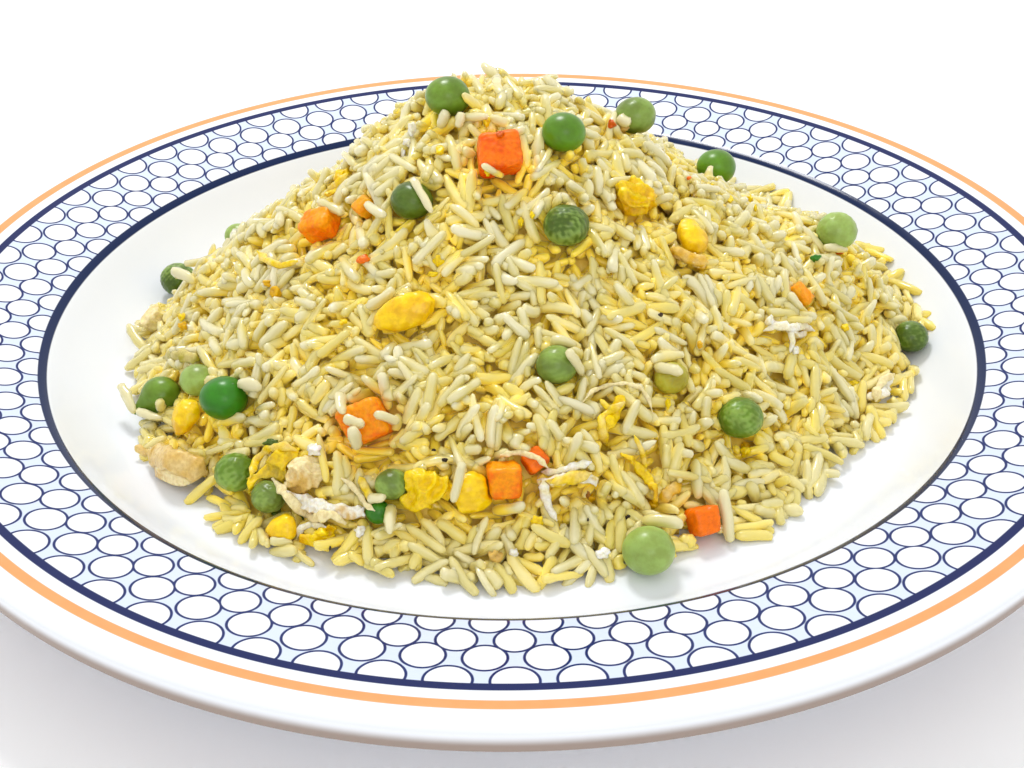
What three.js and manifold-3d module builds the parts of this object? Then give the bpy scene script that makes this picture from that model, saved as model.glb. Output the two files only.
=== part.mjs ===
// Fried rice served on a rimmed round plate: a mound of rice with peas, diced carrot, sweetcorn and egg.
// Millimetres, +Z up, origin on the table under the plate's centre; the diner sits on the -Y side.
import * as THREE from "three";
import { ConvexGeometry } from "three/addons/geometries/ConvexGeometry.js";
import { ConvexHull } from "three/addons/math/ConvexHull.js";
import { mergeVertices } from "three/addons/utils/BufferGeometryUtils.js";
import Module from "manifold-3d";

const wasm = await Module();
wasm.setup();

// ---- Driving dimensions ----
const CLEARANCE = 0.3; // left between pieces that touch
const MARGIN = 1; // how far fillings reach past the faces that they cut to
const PLATE = { thickness: 4.5, segments: 48 };
const WELL = { floorZ: 8, flatRadius: 86, mouthRadius: 100.4, mouthZ: 20, wallSteps: 4 };
const RIM = {
  shoulder: [120.5, 24.1], // distance from the axis and height of each corner of the rim
  crown: [126.4, 24.8],
  wallTop: [130, 23.4],
  wallBottom: [130, 19.9],
  edgeSteps: 3,
};
const FOOT = { innerRadius: 69, outerRadius: 75, height: 2.6, flare: 1 };
// Corners of the underside outside the foot: distance from the axis and height.
const UNDERSIDE = [
  [88, 4],
  [102.9, 15.5],
  [125.4, 20.5],
  [128, 19.5],
];

const MOUND = {
  axis: [-3, 6], // the peak, seen from above
  // The side, as share of the way from the axis to the foot and height above the plate's floor.
  side: [
    [0, 62],
    [0.15, 57],
    [0.3, 49.5],
    [0.45, 39],
    [0.6, 31],
    [0.75, 21.5],
    [0.9, 8.5],
    [1, 1.3],
  ],
  // How far the foot lies from the axis, every 30 degrees from +X towards +Y.
  reach: [95, 93, 90, 86, 78, 75, 81, 81, 84, 84, 84, 85],
  // Swellings and hollows: centre, spread and height.
  swellings: [
    [52, 28, 16, -5.5],
    [28, 20, 16, -0.5],
    [74, 12, 18, 5],
    [-22, 10, 16, 2.5],
    [-64, 4, 16, 2],
  ],
};
const GRAIN = {
  length: 8,
  width: 2.4,
  spacing: 4.45, // between the backs of neighbouring grains
  crest: 1.1, // how far a grain's back stands out of the mound
  gap: 1, // how far the gaps between grains sink into it
  thinnest: 1, // the least height of food over the plate
  footSpacing: 4.4, // between the grains round the foot
  footSpread: 2, // how unevenly they lie in and out
  crestShares: [0.5, 1.5], // the least and greatest share of crest that a grain stands out
  gapShares: [0.5, 1.2],
  tries: 16000, // places tried for grains, enough to leave no room for another
};

// How far the toppings depart from plain shapes, as shares of their size.
const PEA_UNEVENNESS = 0.04;
const LUMP_UNEVENNESS = 0.3;
const KERNEL = { unevenness: 0.08, taper: 0.5 };
const DICE = { bevel: 0.1, askew: 0.08 };
const SHRED = { narrowing: 0.7, twist: 0.4, twistWaves: 6, rise: 1, riseWaves: 9, steps: 5, scrapSteps: 3 };

const COLOURS = {
  plate: 0xf6f7fa,
  rice: 0xe6d79a,
  pea: 0x5f9a2e,
  carrot: 0xf47a16,
  corn: 0xf3c81c,
  egg_lump: 0xe8c65a,
  egg_shred: 0xf1d873,
};
const GLAZE_ROUGHNESS = 0.15;
const OILED_ROUGHNESS = 0.35;
const GRAIN_ROUGHNESS = 0.5;

// Toppings lie at x, y with their middle so far above the mound's smooth surface. Directions are in
// degrees: spin turns a piece about the mound's slope, tip then rolls it about its own length.
// Peas: x, y, height above the surface, diameter.
const PEAS = [
  [-12.5, 2.5, 1.5, 9],
  [11, -6, 2.5, 8.6],
  [27, 14, 4.2, 8.4],
  [49.5, 42, 2.5, 9],
  [-19.5, -17, 0, 8.2],
  [11, -24.5, 2.5, 9.1],
  [72, 9, 2.8, 8.6],
  [88.5, -3, 1.5, 7.5],
  [-79.5, 28, 4.6, 8.2],
  [-73.5, -24, 1, 8.2],
  [-64.5, -28, 1, 7],
  [-57, -39, 3, 9.5],
  [-53.5, -53.5, 2, 7.6],
  [-46.5, -59.5, 0.6, 6.6],
  [-22.5, -64, 0.5, 6],
  [-25, -67, 0, 4.6],
  [8.5, -47.5, -0.5, 7.6],
  [44, -47.5, 2, 8.8],
  [24.5, -75, 4.4, 9.5],
  [30.5, -45, -0.5, 6.6],
  [-62.5, 21, 0.6, 6],
  [-20, 44, 1.5, 8.8],
  [14, 62, 1, 8],
  [52, 66, 2, 8.6],
];
// Carrot dice: x, y, height, [length, width, thickness], spin, tip.
const CARROTS = [
  [-2, -13, 1.5, [8.6, 8, 7], 8, 10],
  [-39, -10, 1.4, [7, 5.5, 5.5], -20, 0],
  [-29.5, -12, 0.2, [3.8, 3.6, 3.4], 30, 0],
  [-27.5, -54, -0.5, [8, 7.5, 8], 15, 20],
  [-1.5, -65.5, 1, [6, 6.2, 5.6], 5, 25],
  [35.5, -66, 1, [5.4, 5.2, 4.8], 20, 15],
  [60.5, -13.5, 0, [5.2, 3.8, 3.6], -30, 0],
  [4, -61.5, -1, [4.4, 4.2, 4.2], 40, 0],
  [10, 46, 1, [8, 7, 6.5], 25, 10],
  [-46, 52, 0.5, [7, 6, 5.5], -35, 0],
];
// Sweetcorn kernels: x, y, height, [length, width, thickness], spin, tip.
const KERNELS = [
  [-20.5, -38.5, 1.2, [13.5, 7, 5.5], 14, 25],
  [-66, -36.5, 3, [8.6, 6.4, 5], 60, 0],
  [-7.5, -67, 1, [8.5, 8, 5], 60, 30],
  [-43.5, -66, 1, [6.8, 5.4, 4.4], 0, 0],
  [37, -13, 1, [9.5, 6.5, 5], -70, 0],
  [30, 48, 1, [9, 6.5, 5], 110, 0],
];
// Lumps of egg and crust: x, y, height, [length, width, thickness], spin, tip.
const LUMPS = [
  [-16, -65.5, 0.5, [9.5, 7, 5.5], 0, 20],
  [-39.5, -59, 1.5, [8, 6.5, 5.5], 20, 0],
  [25.5, -10.5, 0.5, [9, 7, 5.5], 10, 0],
  [-66.5, -47, 3.4, [12, 6.5, 4.2], -25, 0],
  [-81, 6, 2.4, [6.5, 6, 4.5], 50, 0],
  [-10, 74, 1, [9, 6.5, 5], -20, 0],
];
// Shreds of egg: x, y, height, [length, width, thickness], spin, tip, sideways bend.
const SHREDS = [
  [-45, -57, 2, [12, 5.5, 1.3], 30, 20, 60],
  [-35, -65.5, 1.6, [17, 3.6, 1.6], -22, 20, 30],
  [-36, -69.5, 1.2, [8, 3, 1.3], 15, 30, 80],
  [10, -64.5, 1, [11.5, 3, 1.4], 8, 30, -40],
  [19, -55, 1, [8.5, 2.8, 1.4], 65, 0, 50],
  [24.5, -61.5, 1, [12, 2, 1.3], -45, 0, -70],
  [-36, 0.5, 0.2, [8, 2.8, 1.4], 50, 0, 30],
  [36, -19, 0.6, [9, 2.8, 1.4], -12, 20, 20],
  [56.5, -24, 1, [11, 2.6, 1.4], 5, 0, 40],
  [78.5, -23, 1, [10, 2.4, 1.4], 50, 0, 90],
];
// Small shreds that are part of the mound, as above.
const SCRAPS = [
  [-27.5, -68, 1, [8, 2.4, 1.3], -55, 0, 50],
  [-48.5, -13, 0.6, [7.5, 3, 1.4], -25, 0, 30],
  [-68.5, -19, 0.4, [8, 3.6, 1.4], -15, 0, 20],
  [-12.5, -10, 0.5, [5.5, 3, 1.4], 60, 0, 60],
  [-20, -5.5, 0.8, [5, 3.4, 2.4], 60, 0, 40],
  [-72.5, -3, 0.6, [5.5, 4, 2.4], 40, 0, 40],
  [70, -15, 0.6, [4, 2.4, 1.6], -50, 0, 20],
  [-38, 28, 0.8, [9, 3, 1.6], 35, 0, 60],
  [38, 76, 0.8, [8, 3, 1.6], -30, 0, 50],
];

// ---- Small helpers ----
const vec = (x, y, z = 0) => new THREE.Vector3(x, y, z);
const radians = THREE.MathUtils.degToRad;
let seed = 11;
function random() {
  seed = (seed * 16807) % 2147483647;
  return seed / 2147483647;
}
const between = (low, high) => low + (high - low) * random();

// A geometry of positions alone, its shared vertices merged.
function bare(geometry) {
  const copy = geometry.clone();
  copy.deleteAttribute("normal");
  copy.deleteAttribute("uv");
  return mergeVertices(copy);
}

function indexedGeometry(points, triangles) {
  const positions = new Float32Array(points.flatMap((p) => [p.x, p.y, p.z]));
  const geometry = new THREE.BufferGeometry();
  geometry.setAttribute("position", new THREE.BufferAttribute(positions, 3));
  return geometry.setIndex(triangles.flat());
}

function toSolid(geometry) {
  const merged = bare(geometry);
  const vertProperties = new Float32Array(merged.attributes.position.array);
  const triVerts = new Uint32Array(merged.index.array);
  return new wasm.Manifold(new wasm.Mesh({ numProp: 3, vertProperties, triVerts }));
}

function toGeometry(solid) {
  const { vertProperties, triVerts } = solid.getMesh();
  const geometry = new THREE.BufferGeometry();
  geometry.setAttribute("position", new THREE.BufferAttribute(vertProperties, 3));
  return geometry.setIndex(new THREE.BufferAttribute(triVerts, 1));
}

// ---- Plate ----
// The height of the plate's upper face inside the mouth of the well.
function wellHeight(radius) {
  const span = WELL.mouthRadius - WELL.flatRadius;
  const t = THREE.MathUtils.clamp((radius - WELL.flatRadius) / span, 0, 1);
  return WELL.floorZ + (WELL.mouthZ - WELL.floorZ) * t ** 1.5;
}

function wellWall() {
  const steps = [...Array(WELL.wallSteps + 1).keys()];
  const radii = steps.map((i) => THREE.MathUtils.lerp(WELL.mouthRadius, WELL.flatRadius, i / WELL.wallSteps));
  return radii.map((radius) => [radius, wellHeight(radius)]);
}

function lathe(corners, segments = PLATE.segments) {
  const profile = corners.map(([radius, z]) => new THREE.Vector2(radius, z));
  return new THREE.LatheGeometry(profile, segments).rotateX(Math.PI / 2);
}

function plateGeometry() {
  const [crownRadius, crownZ] = RIM.crown;
  const [wallRadius, wallZ] = RIM.wallTop;
  const rounding = [wallRadius - crownRadius, crownZ - wallZ];
  const edge = new THREE.EllipseCurve(crownRadius, wallZ, ...rounding, 0, Math.PI / 2);
  return lathe([
    [0, FOOT.height],
    [FOOT.innerRadius, FOOT.height],
    [FOOT.innerRadius + FOOT.flare, 0],
    [FOOT.outerRadius, 0],
    [FOOT.outerRadius + FOOT.flare, WELL.floorZ - PLATE.thickness],
    ...UNDERSIDE,
    RIM.wallBottom,
    ...edge.getPoints(RIM.edgeSteps).map((p) => p.toArray()),
    RIM.shoulder,
    ...wellWall(),
    [0, WELL.floorZ],
  ]);
}

// ---- The mound's smooth surface ----
const FOOT_SHARE = 86; // millimetres along the side curve's base that stand for the whole way to the foot
const sidePoints = MOUND.side.map(([share, z]) => new THREE.Vector2(share * FOOT_SHARE, z));
const sideCurve = new THREE.SplineCurve(sidePoints);
const sideLength = sideCurve.getLength();
const sideSamples = sideCurve.getPoints(100);

// The distance from the axis to the foot in a direction, by a closed spline through MOUND.reach.
function reachAt(angle) {
  const { reach } = MOUND;
  const turn = THREE.MathUtils.euclideanModulo(angle / (2 * Math.PI), 1) * reach.length;
  const i = Math.floor(turn);
  const t = turn - i;
  const [a, b, c, d] = [-1, 0, 1, 2].map((k) => reach[(i + k + reach.length) % reach.length]);
  return b + 0.5 * t * (c - a + t * (2 * a - 5 * b + 4 * c - d + t * (3 * (b - c) + d - a)));
}

function polar(x, y) {
  const [dx, dy] = [x - MOUND.axis[0], y - MOUND.axis[1]];
  return { radius: Math.hypot(dx, dy), angle: Math.atan2(dy, dx) };
}

// The height of the food's smooth surface, or of the plate where there is none.
function surfaceHeight(x, y) {
  const { radius, angle } = polar(x, y);
  const along = (radius / reachAt(angle)) * FOOT_SHARE;
  const i = sideSamples.findIndex((p) => p.x > along);
  const plate = wellHeight(Math.hypot(x, y));
  if (i < 0) return plate;
  const [a, b] = [sideSamples[i - 1], sideSamples[i]];
  const side = a.y + ((b.y - a.y) * (along - a.x)) / (b.x - a.x);
  const bump = ([cx, cy, spread, height]) => height * Math.exp(-((Math.hypot(x - cx, y - cy) / spread) ** 2));
  const swelling = MOUND.swellings.reduce((sum, one) => sum + bump(one), 0);
  return Math.max(WELL.floorZ + side + swelling, plate + MOUND.side.at(-1)[1]);
}

function surfaceNormal(x, y) {
  const step = 2;
  const slopeX = surfaceHeight(x - step, y) - surfaceHeight(x + step, y);
  const slopeY = surfaceHeight(x, y - step) - surfaceHeight(x, y + step);
  return vec(slopeX, slopeY, 2 * step).normalize();
}

// ---- Grains on the mound ----
// They are laid out on a disc, the mound's side unrolled: distances on it are those along the side.
function discToMound({ x, y }, lift) {
  const angle = Math.atan2(y, x);
  const share = sideCurve.getPointAt(Math.min(Math.hypot(x, y) / sideLength, 1)).x / FOOT_SHARE;
  const radius = share * reachAt(angle);
  const px = MOUND.axis[0] + radius * Math.cos(angle);
  const py = MOUND.axis[1] + radius * Math.sin(angle);
  const point = vec(px, py, surfaceHeight(px, py)).addScaledVector(surfaceNormal(px, py), lift);
  point.z = Math.max(point.z, wellHeight(Math.hypot(point.x, point.y)) + GRAIN.thinnest);
  return point;
}

// Grain-long lines scattered at random over the disc, each given by its two ends.
function scatterGrains(radius) {
  const grains = [];
  const half = (GRAIN.length - GRAIN.width) / 2;
  const samples = (grain) => [grain[0], grain[0].clone().lerp(grain[1], 0.5), grain[1]];
  for (let k = 0; k < GRAIN.tries; k++) {
    const middle = vec(Math.sqrt(random()) * radius, 0).applyAxisAngle(vec(0, 0, 1), between(0, 2 * Math.PI));
    const along = vec(half, 0).applyAxisAngle(vec(0, 0, 1), between(0, Math.PI));
    const grain = [middle.clone().sub(along), middle.clone().add(along)];
    const own = samples(grain);
    const tooNear = (other) => samples(other).some((p) => own.some((q) => p.distanceTo(q) < GRAIN.spacing));
    if (!grains.some(tooNear)) grains.push(grain);
  }
  return grains;
}

// Delaunay triangles of points in the plane: the underside of their hull once lifted onto a paraboloid.
function delaunay(points) {
  const lifted = points.map((p) => vec(p.x, p.y, p.x ** 2 + p.y ** 2));
  const farAbove = 100 * Math.max(...lifted.map((p) => p.z));
  const apex = vec(0, 0, farAbove);
  const number = new Map(lifted.map((p, i) => [p, i]));
  const corners = (face) => [0, 2, 1].map((k) => number.get(face.getEdge(k).head().point));
  const hull = new ConvexHull().setFromPoints([...lifted, apex]);
  return hull.faces.map(corners).filter((triangle) => !triangle.includes(undefined));
}

// Whether a place on the disc is under the middle of a topping.
function isCovered(place) {
  const { x, y } = discToMound(place, 0);
  const reach = (size) => Math.min(...[size].flat().slice(0, 2)) / 2;
  const covers = ([cx, cy, , size]) => Math.hypot(x - cx, y - cy) < reach(size);
  return [...PEAS, ...CARROTS, ...KERNELS, ...LUMPS].some(covers);
}

function moundGeometry() {
  const ringCount = Math.round((2 * Math.PI * FOOT_SHARE) / GRAIN.footSpacing);
  const ring = [...Array(ringCount).keys()].map((k) => {
    return vec(sideLength, 0).applyAxisAngle(vec(0, 0, 1), (2 * Math.PI * k) / ringCount);
  });
  const scattered = scatterGrains(sideLength - GRAIN.spacing);
  const grains = scattered.filter(([a, b]) => !isCovered(a.clone().lerp(b, 0.5)));
  const crests = grains.flat();
  const owner = [...ring.map((_, k) => -1 - k), ...grains.flatMap((_, k) => [k, k])];
  const flat = [...ring, ...crests];
  const meeting = delaunay(flat).filter((triangle) => new Set(triangle.map((i) => owner[i])).size === 3);
  const gaps = meeting
    .filter((triangle) => triangle.some((i) => i >= ringCount))
    .map(([a, b, c]) => flat[a].clone().add(flat[b]).add(flat[c]).divideScalar(3));
  const disc = [...flat, ...gaps];
  const triangles = delaunay(disc);
  const points = disc.map((p, i) => {
    if (i < ringCount) return discToMound(p, 0);
    const isCrest = i < flat.length;
    const rise = isCrest ? GRAIN.crest * between(...GRAIN.crestShares) : 0;
    const sink = isCrest ? 0 : GRAIN.gap * between(...GRAIN.gapShares);
    return discToMound(p, rise - sink);
  });
  return closeBelow(points, triangles, ringCount);
}

// Closes a sheet, whose first vertices are its edge in order, by a skirt straight down and a flat bottom.
function closeBelow(points, triangles, edgeCount) {
  const bottomZ = WELL.floorZ - MARGIN;
  const foot = points.length;
  for (let k = 0; k < edgeCount; k++) {
    const angle = (2 * Math.PI * k) / edgeCount;
    const shift = between(-GRAIN.footSpread, GRAIN.footSpread);
    points[k].add(vec(Math.cos(angle), Math.sin(angle)).multiplyScalar(shift));
    points.push(vec(points[k].x, points[k].y, bottomZ));
  }
  const centre = points.push(vec(MOUND.axis[0], MOUND.axis[1], bottomZ)) - 1;
  for (let k = 0; k < edgeCount; k++) {
    const next = (k + 1) % edgeCount;
    triangles.push([k, foot + k, foot + next], [k, foot + next, next], [centre, foot + next, foot + k]);
  }
  return indexedGeometry(points, triangles);
}

// All that lies under the food, up to its underside.
function wellFilling() {
  const wall = wellWall().map(([radius, z]) => [radius, z + CLEARANCE]);
  const outside = WELL.mouthRadius + MARGIN;
  return lathe([
    [0, 0],
    [outside, 0],
    [outside, WELL.mouthZ + CLEARANCE],
    ...wall,
    [0, WELL.floorZ + CLEARANCE],
  ]);
}

// ---- Toppings ----
// Each maker returns the piece about its own middle, grown by so much on every side. Where a coarse
// one is asked for, it has few faces and holds the whole of the fine one.
const TWENTY_SIDED = 1.28; // how much larger a ball of twenty faces has to be to hold a round one
const pushOut = (size, grow) => size.map((length) => length + 2 * grow);

// Moves every vertex in or out by a share that varies smoothly over the piece.
function uneven(geometry, share, phase) {
  const position = geometry.attributes.position;
  const point = vec(0, 0);
  for (let i = 0; i < position.count; i++) {
    const { x, y, z } = point.fromBufferAttribute(position, i).clone().normalize();
    const wave = Math.sin(3 * x + phase) * Math.cos(4 * y - 2 * phase) + Math.sin(5 * z + 3 * phase);
    position.setXYZ(i, ...point.multiplyScalar(1 + (share * wave) / 2));
  }
  return geometry;
}

function ball(detail) {
  return bare(new THREE.IcosahedronGeometry(0.5, detail));
}

function peaShape(diameter, phase, grow, coarse) {
  const across = (diameter + 2 * grow) * (coarse ? TWENTY_SIDED : 1);
  const shape = coarse ? ball(0) : uneven(ball(1), PEA_UNEVENNESS, phase);
  return shape.scale(across, across, across);
}

function lumpShape(size, phase, grow) {
  return uneven(ball(1), LUMP_UNEVENNESS, phase).scale(...pushOut(size, grow));
}

// A block with its corners and edges cut off, and each corner a little out of place.
function diceShape(size, phase, grow) {
  const half = pushOut(size, grow).map((length) => length / 2);
  const bevel = DICE.bevel * Math.min(...size);
  const points = [];
  for (let corner = 0; corner < 8; corner++) {
    const sides = [1, 2, 4].map((bit) => (corner & bit ? 1 : -1));
    const askew = 1 + DICE.askew * Math.sin(5 * corner + phase);
    for (let axis = 0; axis < 3; axis++) {
      const at = sides.map((side, k) => side * (half[k] * askew - (k === axis ? 0 : bevel)));
      points.push(vec(...at));
    }
  }
  return bare(new ConvexGeometry(points));
}

// A sweetcorn kernel: a flattened drop, broad at one end and narrow at the other.
function kernelShape(size, phase, grow, coarse) {
  if (coarse) return ball(0).scale(...pushOut(size, grow).map((length) => length * TWENTY_SIDED));
  const kernel = uneven(bare(new THREE.SphereGeometry(0.5, 8, 6)), KERNEL.unevenness, phase);
  const position = kernel.attributes.position;
  for (let i = 0; i < position.count; i++) {
    const taper = 1 + KERNEL.taper * position.getX(i);
    position.setY(i, position.getY(i) * taper);
    position.setZ(i, position.getZ(i) * taper);
  }
  return kernel.scale(...pushOut(size, grow));
}

// A thin wavy strip that bends sideways along its length.
function shredShape([length, width, thickness], bend, phase, grow, steps) {
  const turn = radians(bend);
  // The four corners of the strip's section at step i, in order round it.
  const section = (i) => {
    const along = i / steps - 0.5;
    const heading = turn * along;
    const ahead = vec(Math.cos(heading), Math.sin(heading));
    const sideways = vec(-ahead.y, ahead.x);
    const middle = vec(ahead.y, 1 - ahead.x).multiplyScalar(length / turn);
    middle.z = SHRED.rise * Math.sin(SHRED.riseWaves * along + phase);
    const isEnd = i === 0 || i === steps;
    middle.addScaledVector(ahead, isEnd ? Math.sign(along) * grow : 0);
    const halfWidth = (width / 2) * (1 - SHRED.narrowing * Math.abs(along)) + grow;
    const halfThickness = thickness / 2 + grow;
    const twist = SHRED.twist * Math.sin(SHRED.twistWaves * along - phase);
    const corner = (side, face) => {
      const lift = vec(0, 0, face * halfThickness + side * twist);
      return middle.clone().addScaledVector(sideways, side * halfWidth).add(lift);
    };
    return [corner(-1, -1), corner(1, -1), corner(1, 1), corner(-1, 1)];
  };
  const points = [...Array(steps + 1).keys()].flatMap(section);
  const triangles = [
    [0, 3, 2],
    [0, 2, 1],
  ];
  for (let i = 0; i < steps; i++) {
    for (let k = 0; k < 4; k++) {
      const [a, b] = [4 * i + k, 4 * i + ((k + 1) % 4)];
      triangles.push([a, b, b + 4], [a, b + 4, a + 4]);
    }
  }
  const end = 4 * steps;
  triangles.push([end, end + 1, end + 2], [end, end + 2, end + 3]);
  return indexedGeometry(points, triangles);
}

// Lays a piece on the food, or on the plate, at [x, y].
function lay(geometry, [x, y, height], spin = 0, tip = 0) {
  const slope = new THREE.Quaternion().setFromUnitVectors(vec(0, 0, 1), surfaceNormal(x, y));
  const turn = new THREE.Euler(radians(tip), 0, radians(spin), "ZYX");
  geometry.applyQuaternion(new THREE.Quaternion().setFromEuler(turn)).applyQuaternion(slope);
  return geometry.translate(x, y, surfaceHeight(x, y) + height);
}

const BENT_SLACK = 1.7; // how much more a bent strip has to grow, as its faces swing when it does
const layShred = ([x, y, z, size, spin, tip, bend], phase, grow, steps) =>
  lay(shredShape(size, bend, phase, grow, steps), [x, y, z], spin, tip);

// The pieces of one kind, numbered, each with its maker.
function pieces(kind, rows, maker) {
  return rows.map((row, i) => {
    const name = `${kind}_${String(i + 1).padStart(2, "0")}`;
    return { name, colour: COLOURS[kind], make: (...growth) => maker(row, i, ...growth) };
  });
}

const toppings = [
  ...pieces("pea", PEAS, ([x, y, z, diameter], i, ...growth) =>
    lay(peaShape(diameter, i, ...growth), [x, y, z]),
  ),
  ...pieces("carrot", CARROTS, ([x, y, z, size, spin, tip], i, ...growth) =>
    lay(diceShape(size, i, ...growth), [x, y, z], spin, tip),
  ),
  ...pieces("corn", KERNELS, ([x, y, z, size, spin, tip], i, ...growth) =>
    lay(kernelShape(size, i, ...growth), [x, y, z], spin, tip),
  ),
  ...pieces("egg_lump", LUMPS, ([x, y, z, size, spin, tip], i, ...growth) =>
    lay(lumpShape(size, i, ...growth), [x, y, z], spin, tip),
  ),
  ...pieces("egg_shred", SHREDS, (row, i, grow) => layShred(row, i, grow * BENT_SLACK, SHRED.steps)),
];

// The largest of the bodies that a solid falls into.
function largestBody(solid) {
  const bodies = solid.decompose();
  return bodies.reduce((best, body) => (body.volume() > best.volume() ? body : best));
}

// ---- Assembly ----
const group = new THREE.Group();
function addMesh(name, geometry, colour, roughness) {
  const material = new THREE.MeshStandardMaterial({ color: colour, roughness, metalness: 0 });
  const mesh = new THREE.Mesh(geometry, material);
  mesh.name = name;
  group.add(mesh);
}
addMesh("plate", plateGeometry(), COLOURS.plate, GLAZE_ROUGHNESS);

// Each topping is cut by those before it, and the mound with its scraps by all of them.
let taken = toSolid(wellFilling());
let pockets = taken;
for (const { name, colour, make } of toppings) {
  const piece = largestBody(toSolid(make(0)).subtract(taken));
  addMesh(name, toGeometry(piece), colour, OILED_ROUGHNESS);
  taken = taken.add(toSolid(make(CLEARANCE)));
  pockets = pockets.add(toSolid(make(CLEARANCE, true)));
}
const scraps = SCRAPS.map((scrap, i) => toSolid(layShred(scrap, i, 0, SHRED.scrapSteps)).subtract(taken));
const mound = scraps.reduce((sum, scrap) => sum.add(scrap), toSolid(moundGeometry()).subtract(pockets));
addMesh("rice", toGeometry(largestBody(mound)), COLOURS.rice, GRAIN_ROUGHNESS);

export default group;
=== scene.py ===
"""Looks for a plate of fried rice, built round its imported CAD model: a printed melamine plate, a heap of
separate rice grains over a core, and peas, carrot, sweetcorn and egg in it. Sizes are in metres, or in
millimetres where it says so."""

import math

import bmesh
import bpy
import numpy as np
from mathutils import Matrix, Vector
from mathutils.bvhtree import BVHTree


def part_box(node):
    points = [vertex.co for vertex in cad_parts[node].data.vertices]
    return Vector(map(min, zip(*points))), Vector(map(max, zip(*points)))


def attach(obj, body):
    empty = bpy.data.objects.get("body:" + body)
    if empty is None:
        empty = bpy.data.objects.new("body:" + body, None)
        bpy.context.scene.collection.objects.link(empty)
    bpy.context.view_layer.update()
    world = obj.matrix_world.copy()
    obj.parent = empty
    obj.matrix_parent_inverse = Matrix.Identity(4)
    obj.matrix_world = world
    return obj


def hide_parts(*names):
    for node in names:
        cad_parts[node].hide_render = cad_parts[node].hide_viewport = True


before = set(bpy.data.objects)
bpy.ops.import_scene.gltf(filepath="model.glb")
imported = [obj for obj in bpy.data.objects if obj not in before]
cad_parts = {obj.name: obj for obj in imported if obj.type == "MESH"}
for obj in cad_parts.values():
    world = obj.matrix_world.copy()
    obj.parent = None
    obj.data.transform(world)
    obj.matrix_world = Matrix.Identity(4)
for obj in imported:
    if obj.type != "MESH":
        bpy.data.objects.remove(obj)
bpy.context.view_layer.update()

MM = 0.001
rng = np.random.default_rng(7)  # for all random draws but those of the waves

# ---- Camera and light ----
CAMERA_PLACE = (0.0, -285.9 * MM, 187.8 * MM)
CAMERA_TARGET = (0.0, -30.4 * MM, 20.0 * MM)
CAMERA_ROLL = math.radians(-0.61)
CAMERA_LENS = 52.73  # millimetres
CAMERA_SENSOR = 36  # millimetres
PICTURE = (1024, 768)
WORLD_LIGHT = 0.93
# For each lamp its place, its size and its power in watts.
LAMPS = {"key": ((-0.12, 0.4, 0.7), 0.19, 3.1), "front": ((0.12, -0.75, 0.55), 0.4, 1.0)}
LAMPS_AIM = (0, 0, 0.03)
FLOOR_SIZE = 6.0

# ---- Plate: distances from its axis and heights ----
WELL_FLOOR = 8.0 * MM
WELL_FLAT = 86.0 * MM
WELL_MOUTH = 100.4 * MM
WELL_RISE = 12.0 * MM
SHOULDER = (120.5 * MM, 24.1 * MM)
CROWN = (126.4 * MM, 24.8 * MM)
WALL_TOP = (130.0 * MM, 23.4 * MM)
WALL_BOTTOM = (130.0 * MM, 19.9 * MM)
UNDERSIDE = [(128, 19.5), (125.4, 20.5), (102.9, 15.5), (88, 4), (76, 3.5)]  # millimetres
FOOT = [(75, 0), (70, 0), (69, 2.6), (0, 2.6)]  # millimetres
MOUTH_ROUNDING = 2.2 * MM
SHOULDER_ROUNDING = 3 * MM
UNDERSIDE_ROUNDING = 0.5 * MM
PLATE_TURNS = 256  # segments round the plate
UNDERSIDE_SPOT = (0.93, 0.06)  # the middle and the reach of the underside in the corner of the plate's map

# ---- The plate's printed border ----
CIRCLE_STEP = 5.0  # degrees between the circles of a row
# Each row's radius and its circles' radius in millimetres, and the turn of its first circle.
CIRCLE_ROWS = [(102.05, 3.2, 2.65), (107.5, 3.35, 0.0), (112.6, 3.6, 2.6), (119.0, 3.85, 0.0)]
OUTLINE_WIDTH = 0.5  # millimetres
EDGE = 0.1  # millimetres on either side over which print ends
INNER_LINE = (100.4, 1.7)  # radius and width in millimetres
OUTER_LINE = (120.5, 1.8)
ORANGE_LINE = (124.8, 2.1)
WALL_SHADE_SPAN = (127.5, 129)  # millimetres from the axis between which the wall's painted shade begins

# ---- The heap's form ----
CELL = 0.5 * MM  # of the height maps
MAP_CELLS = 440  # along each side of a height map
GRID_HEIGHT = 90 * MM  # of the grid that marks the room which grains take
SMOOTHED = 1.6 * MM  # how widely the bumps of the CAD heap's grains are evened out
BRIDGED = 4 * MM  # how widely, where toppings hide the heap
RELIEF = [(9 * MM, 1.3 * MM), (22 * MM, 0.9 * MM)]  # how wide and how deep the heap's clumps are
SETTLED = 0.9 * MM  # how far the grains lie under the CAD heap's surface, so that their tips reach it
THICK = 12 * MM  # a thinner heap has less of its clumps and its settling, and less of the golden painted light in its gaps
CORE_DEPTH = 3.8 * MM  # how far the core lies under the heap's surface, square to it
CORE_STEEPEST = 1.8  # how many times deeper it lies at most where the heap is steep
CORE_MARGIN = 9  # cells from the rice's edge to the core's
CORE_STEP = 3  # cells between the core's points
CORE_RELIEF = (4.5 * MM, 0.5 * MM)  # how wide and how deep
CORE_HEIGHTS = (0.15 * MM, 0.3 * MM)  # above the plate, of its base and of its lowest top

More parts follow.
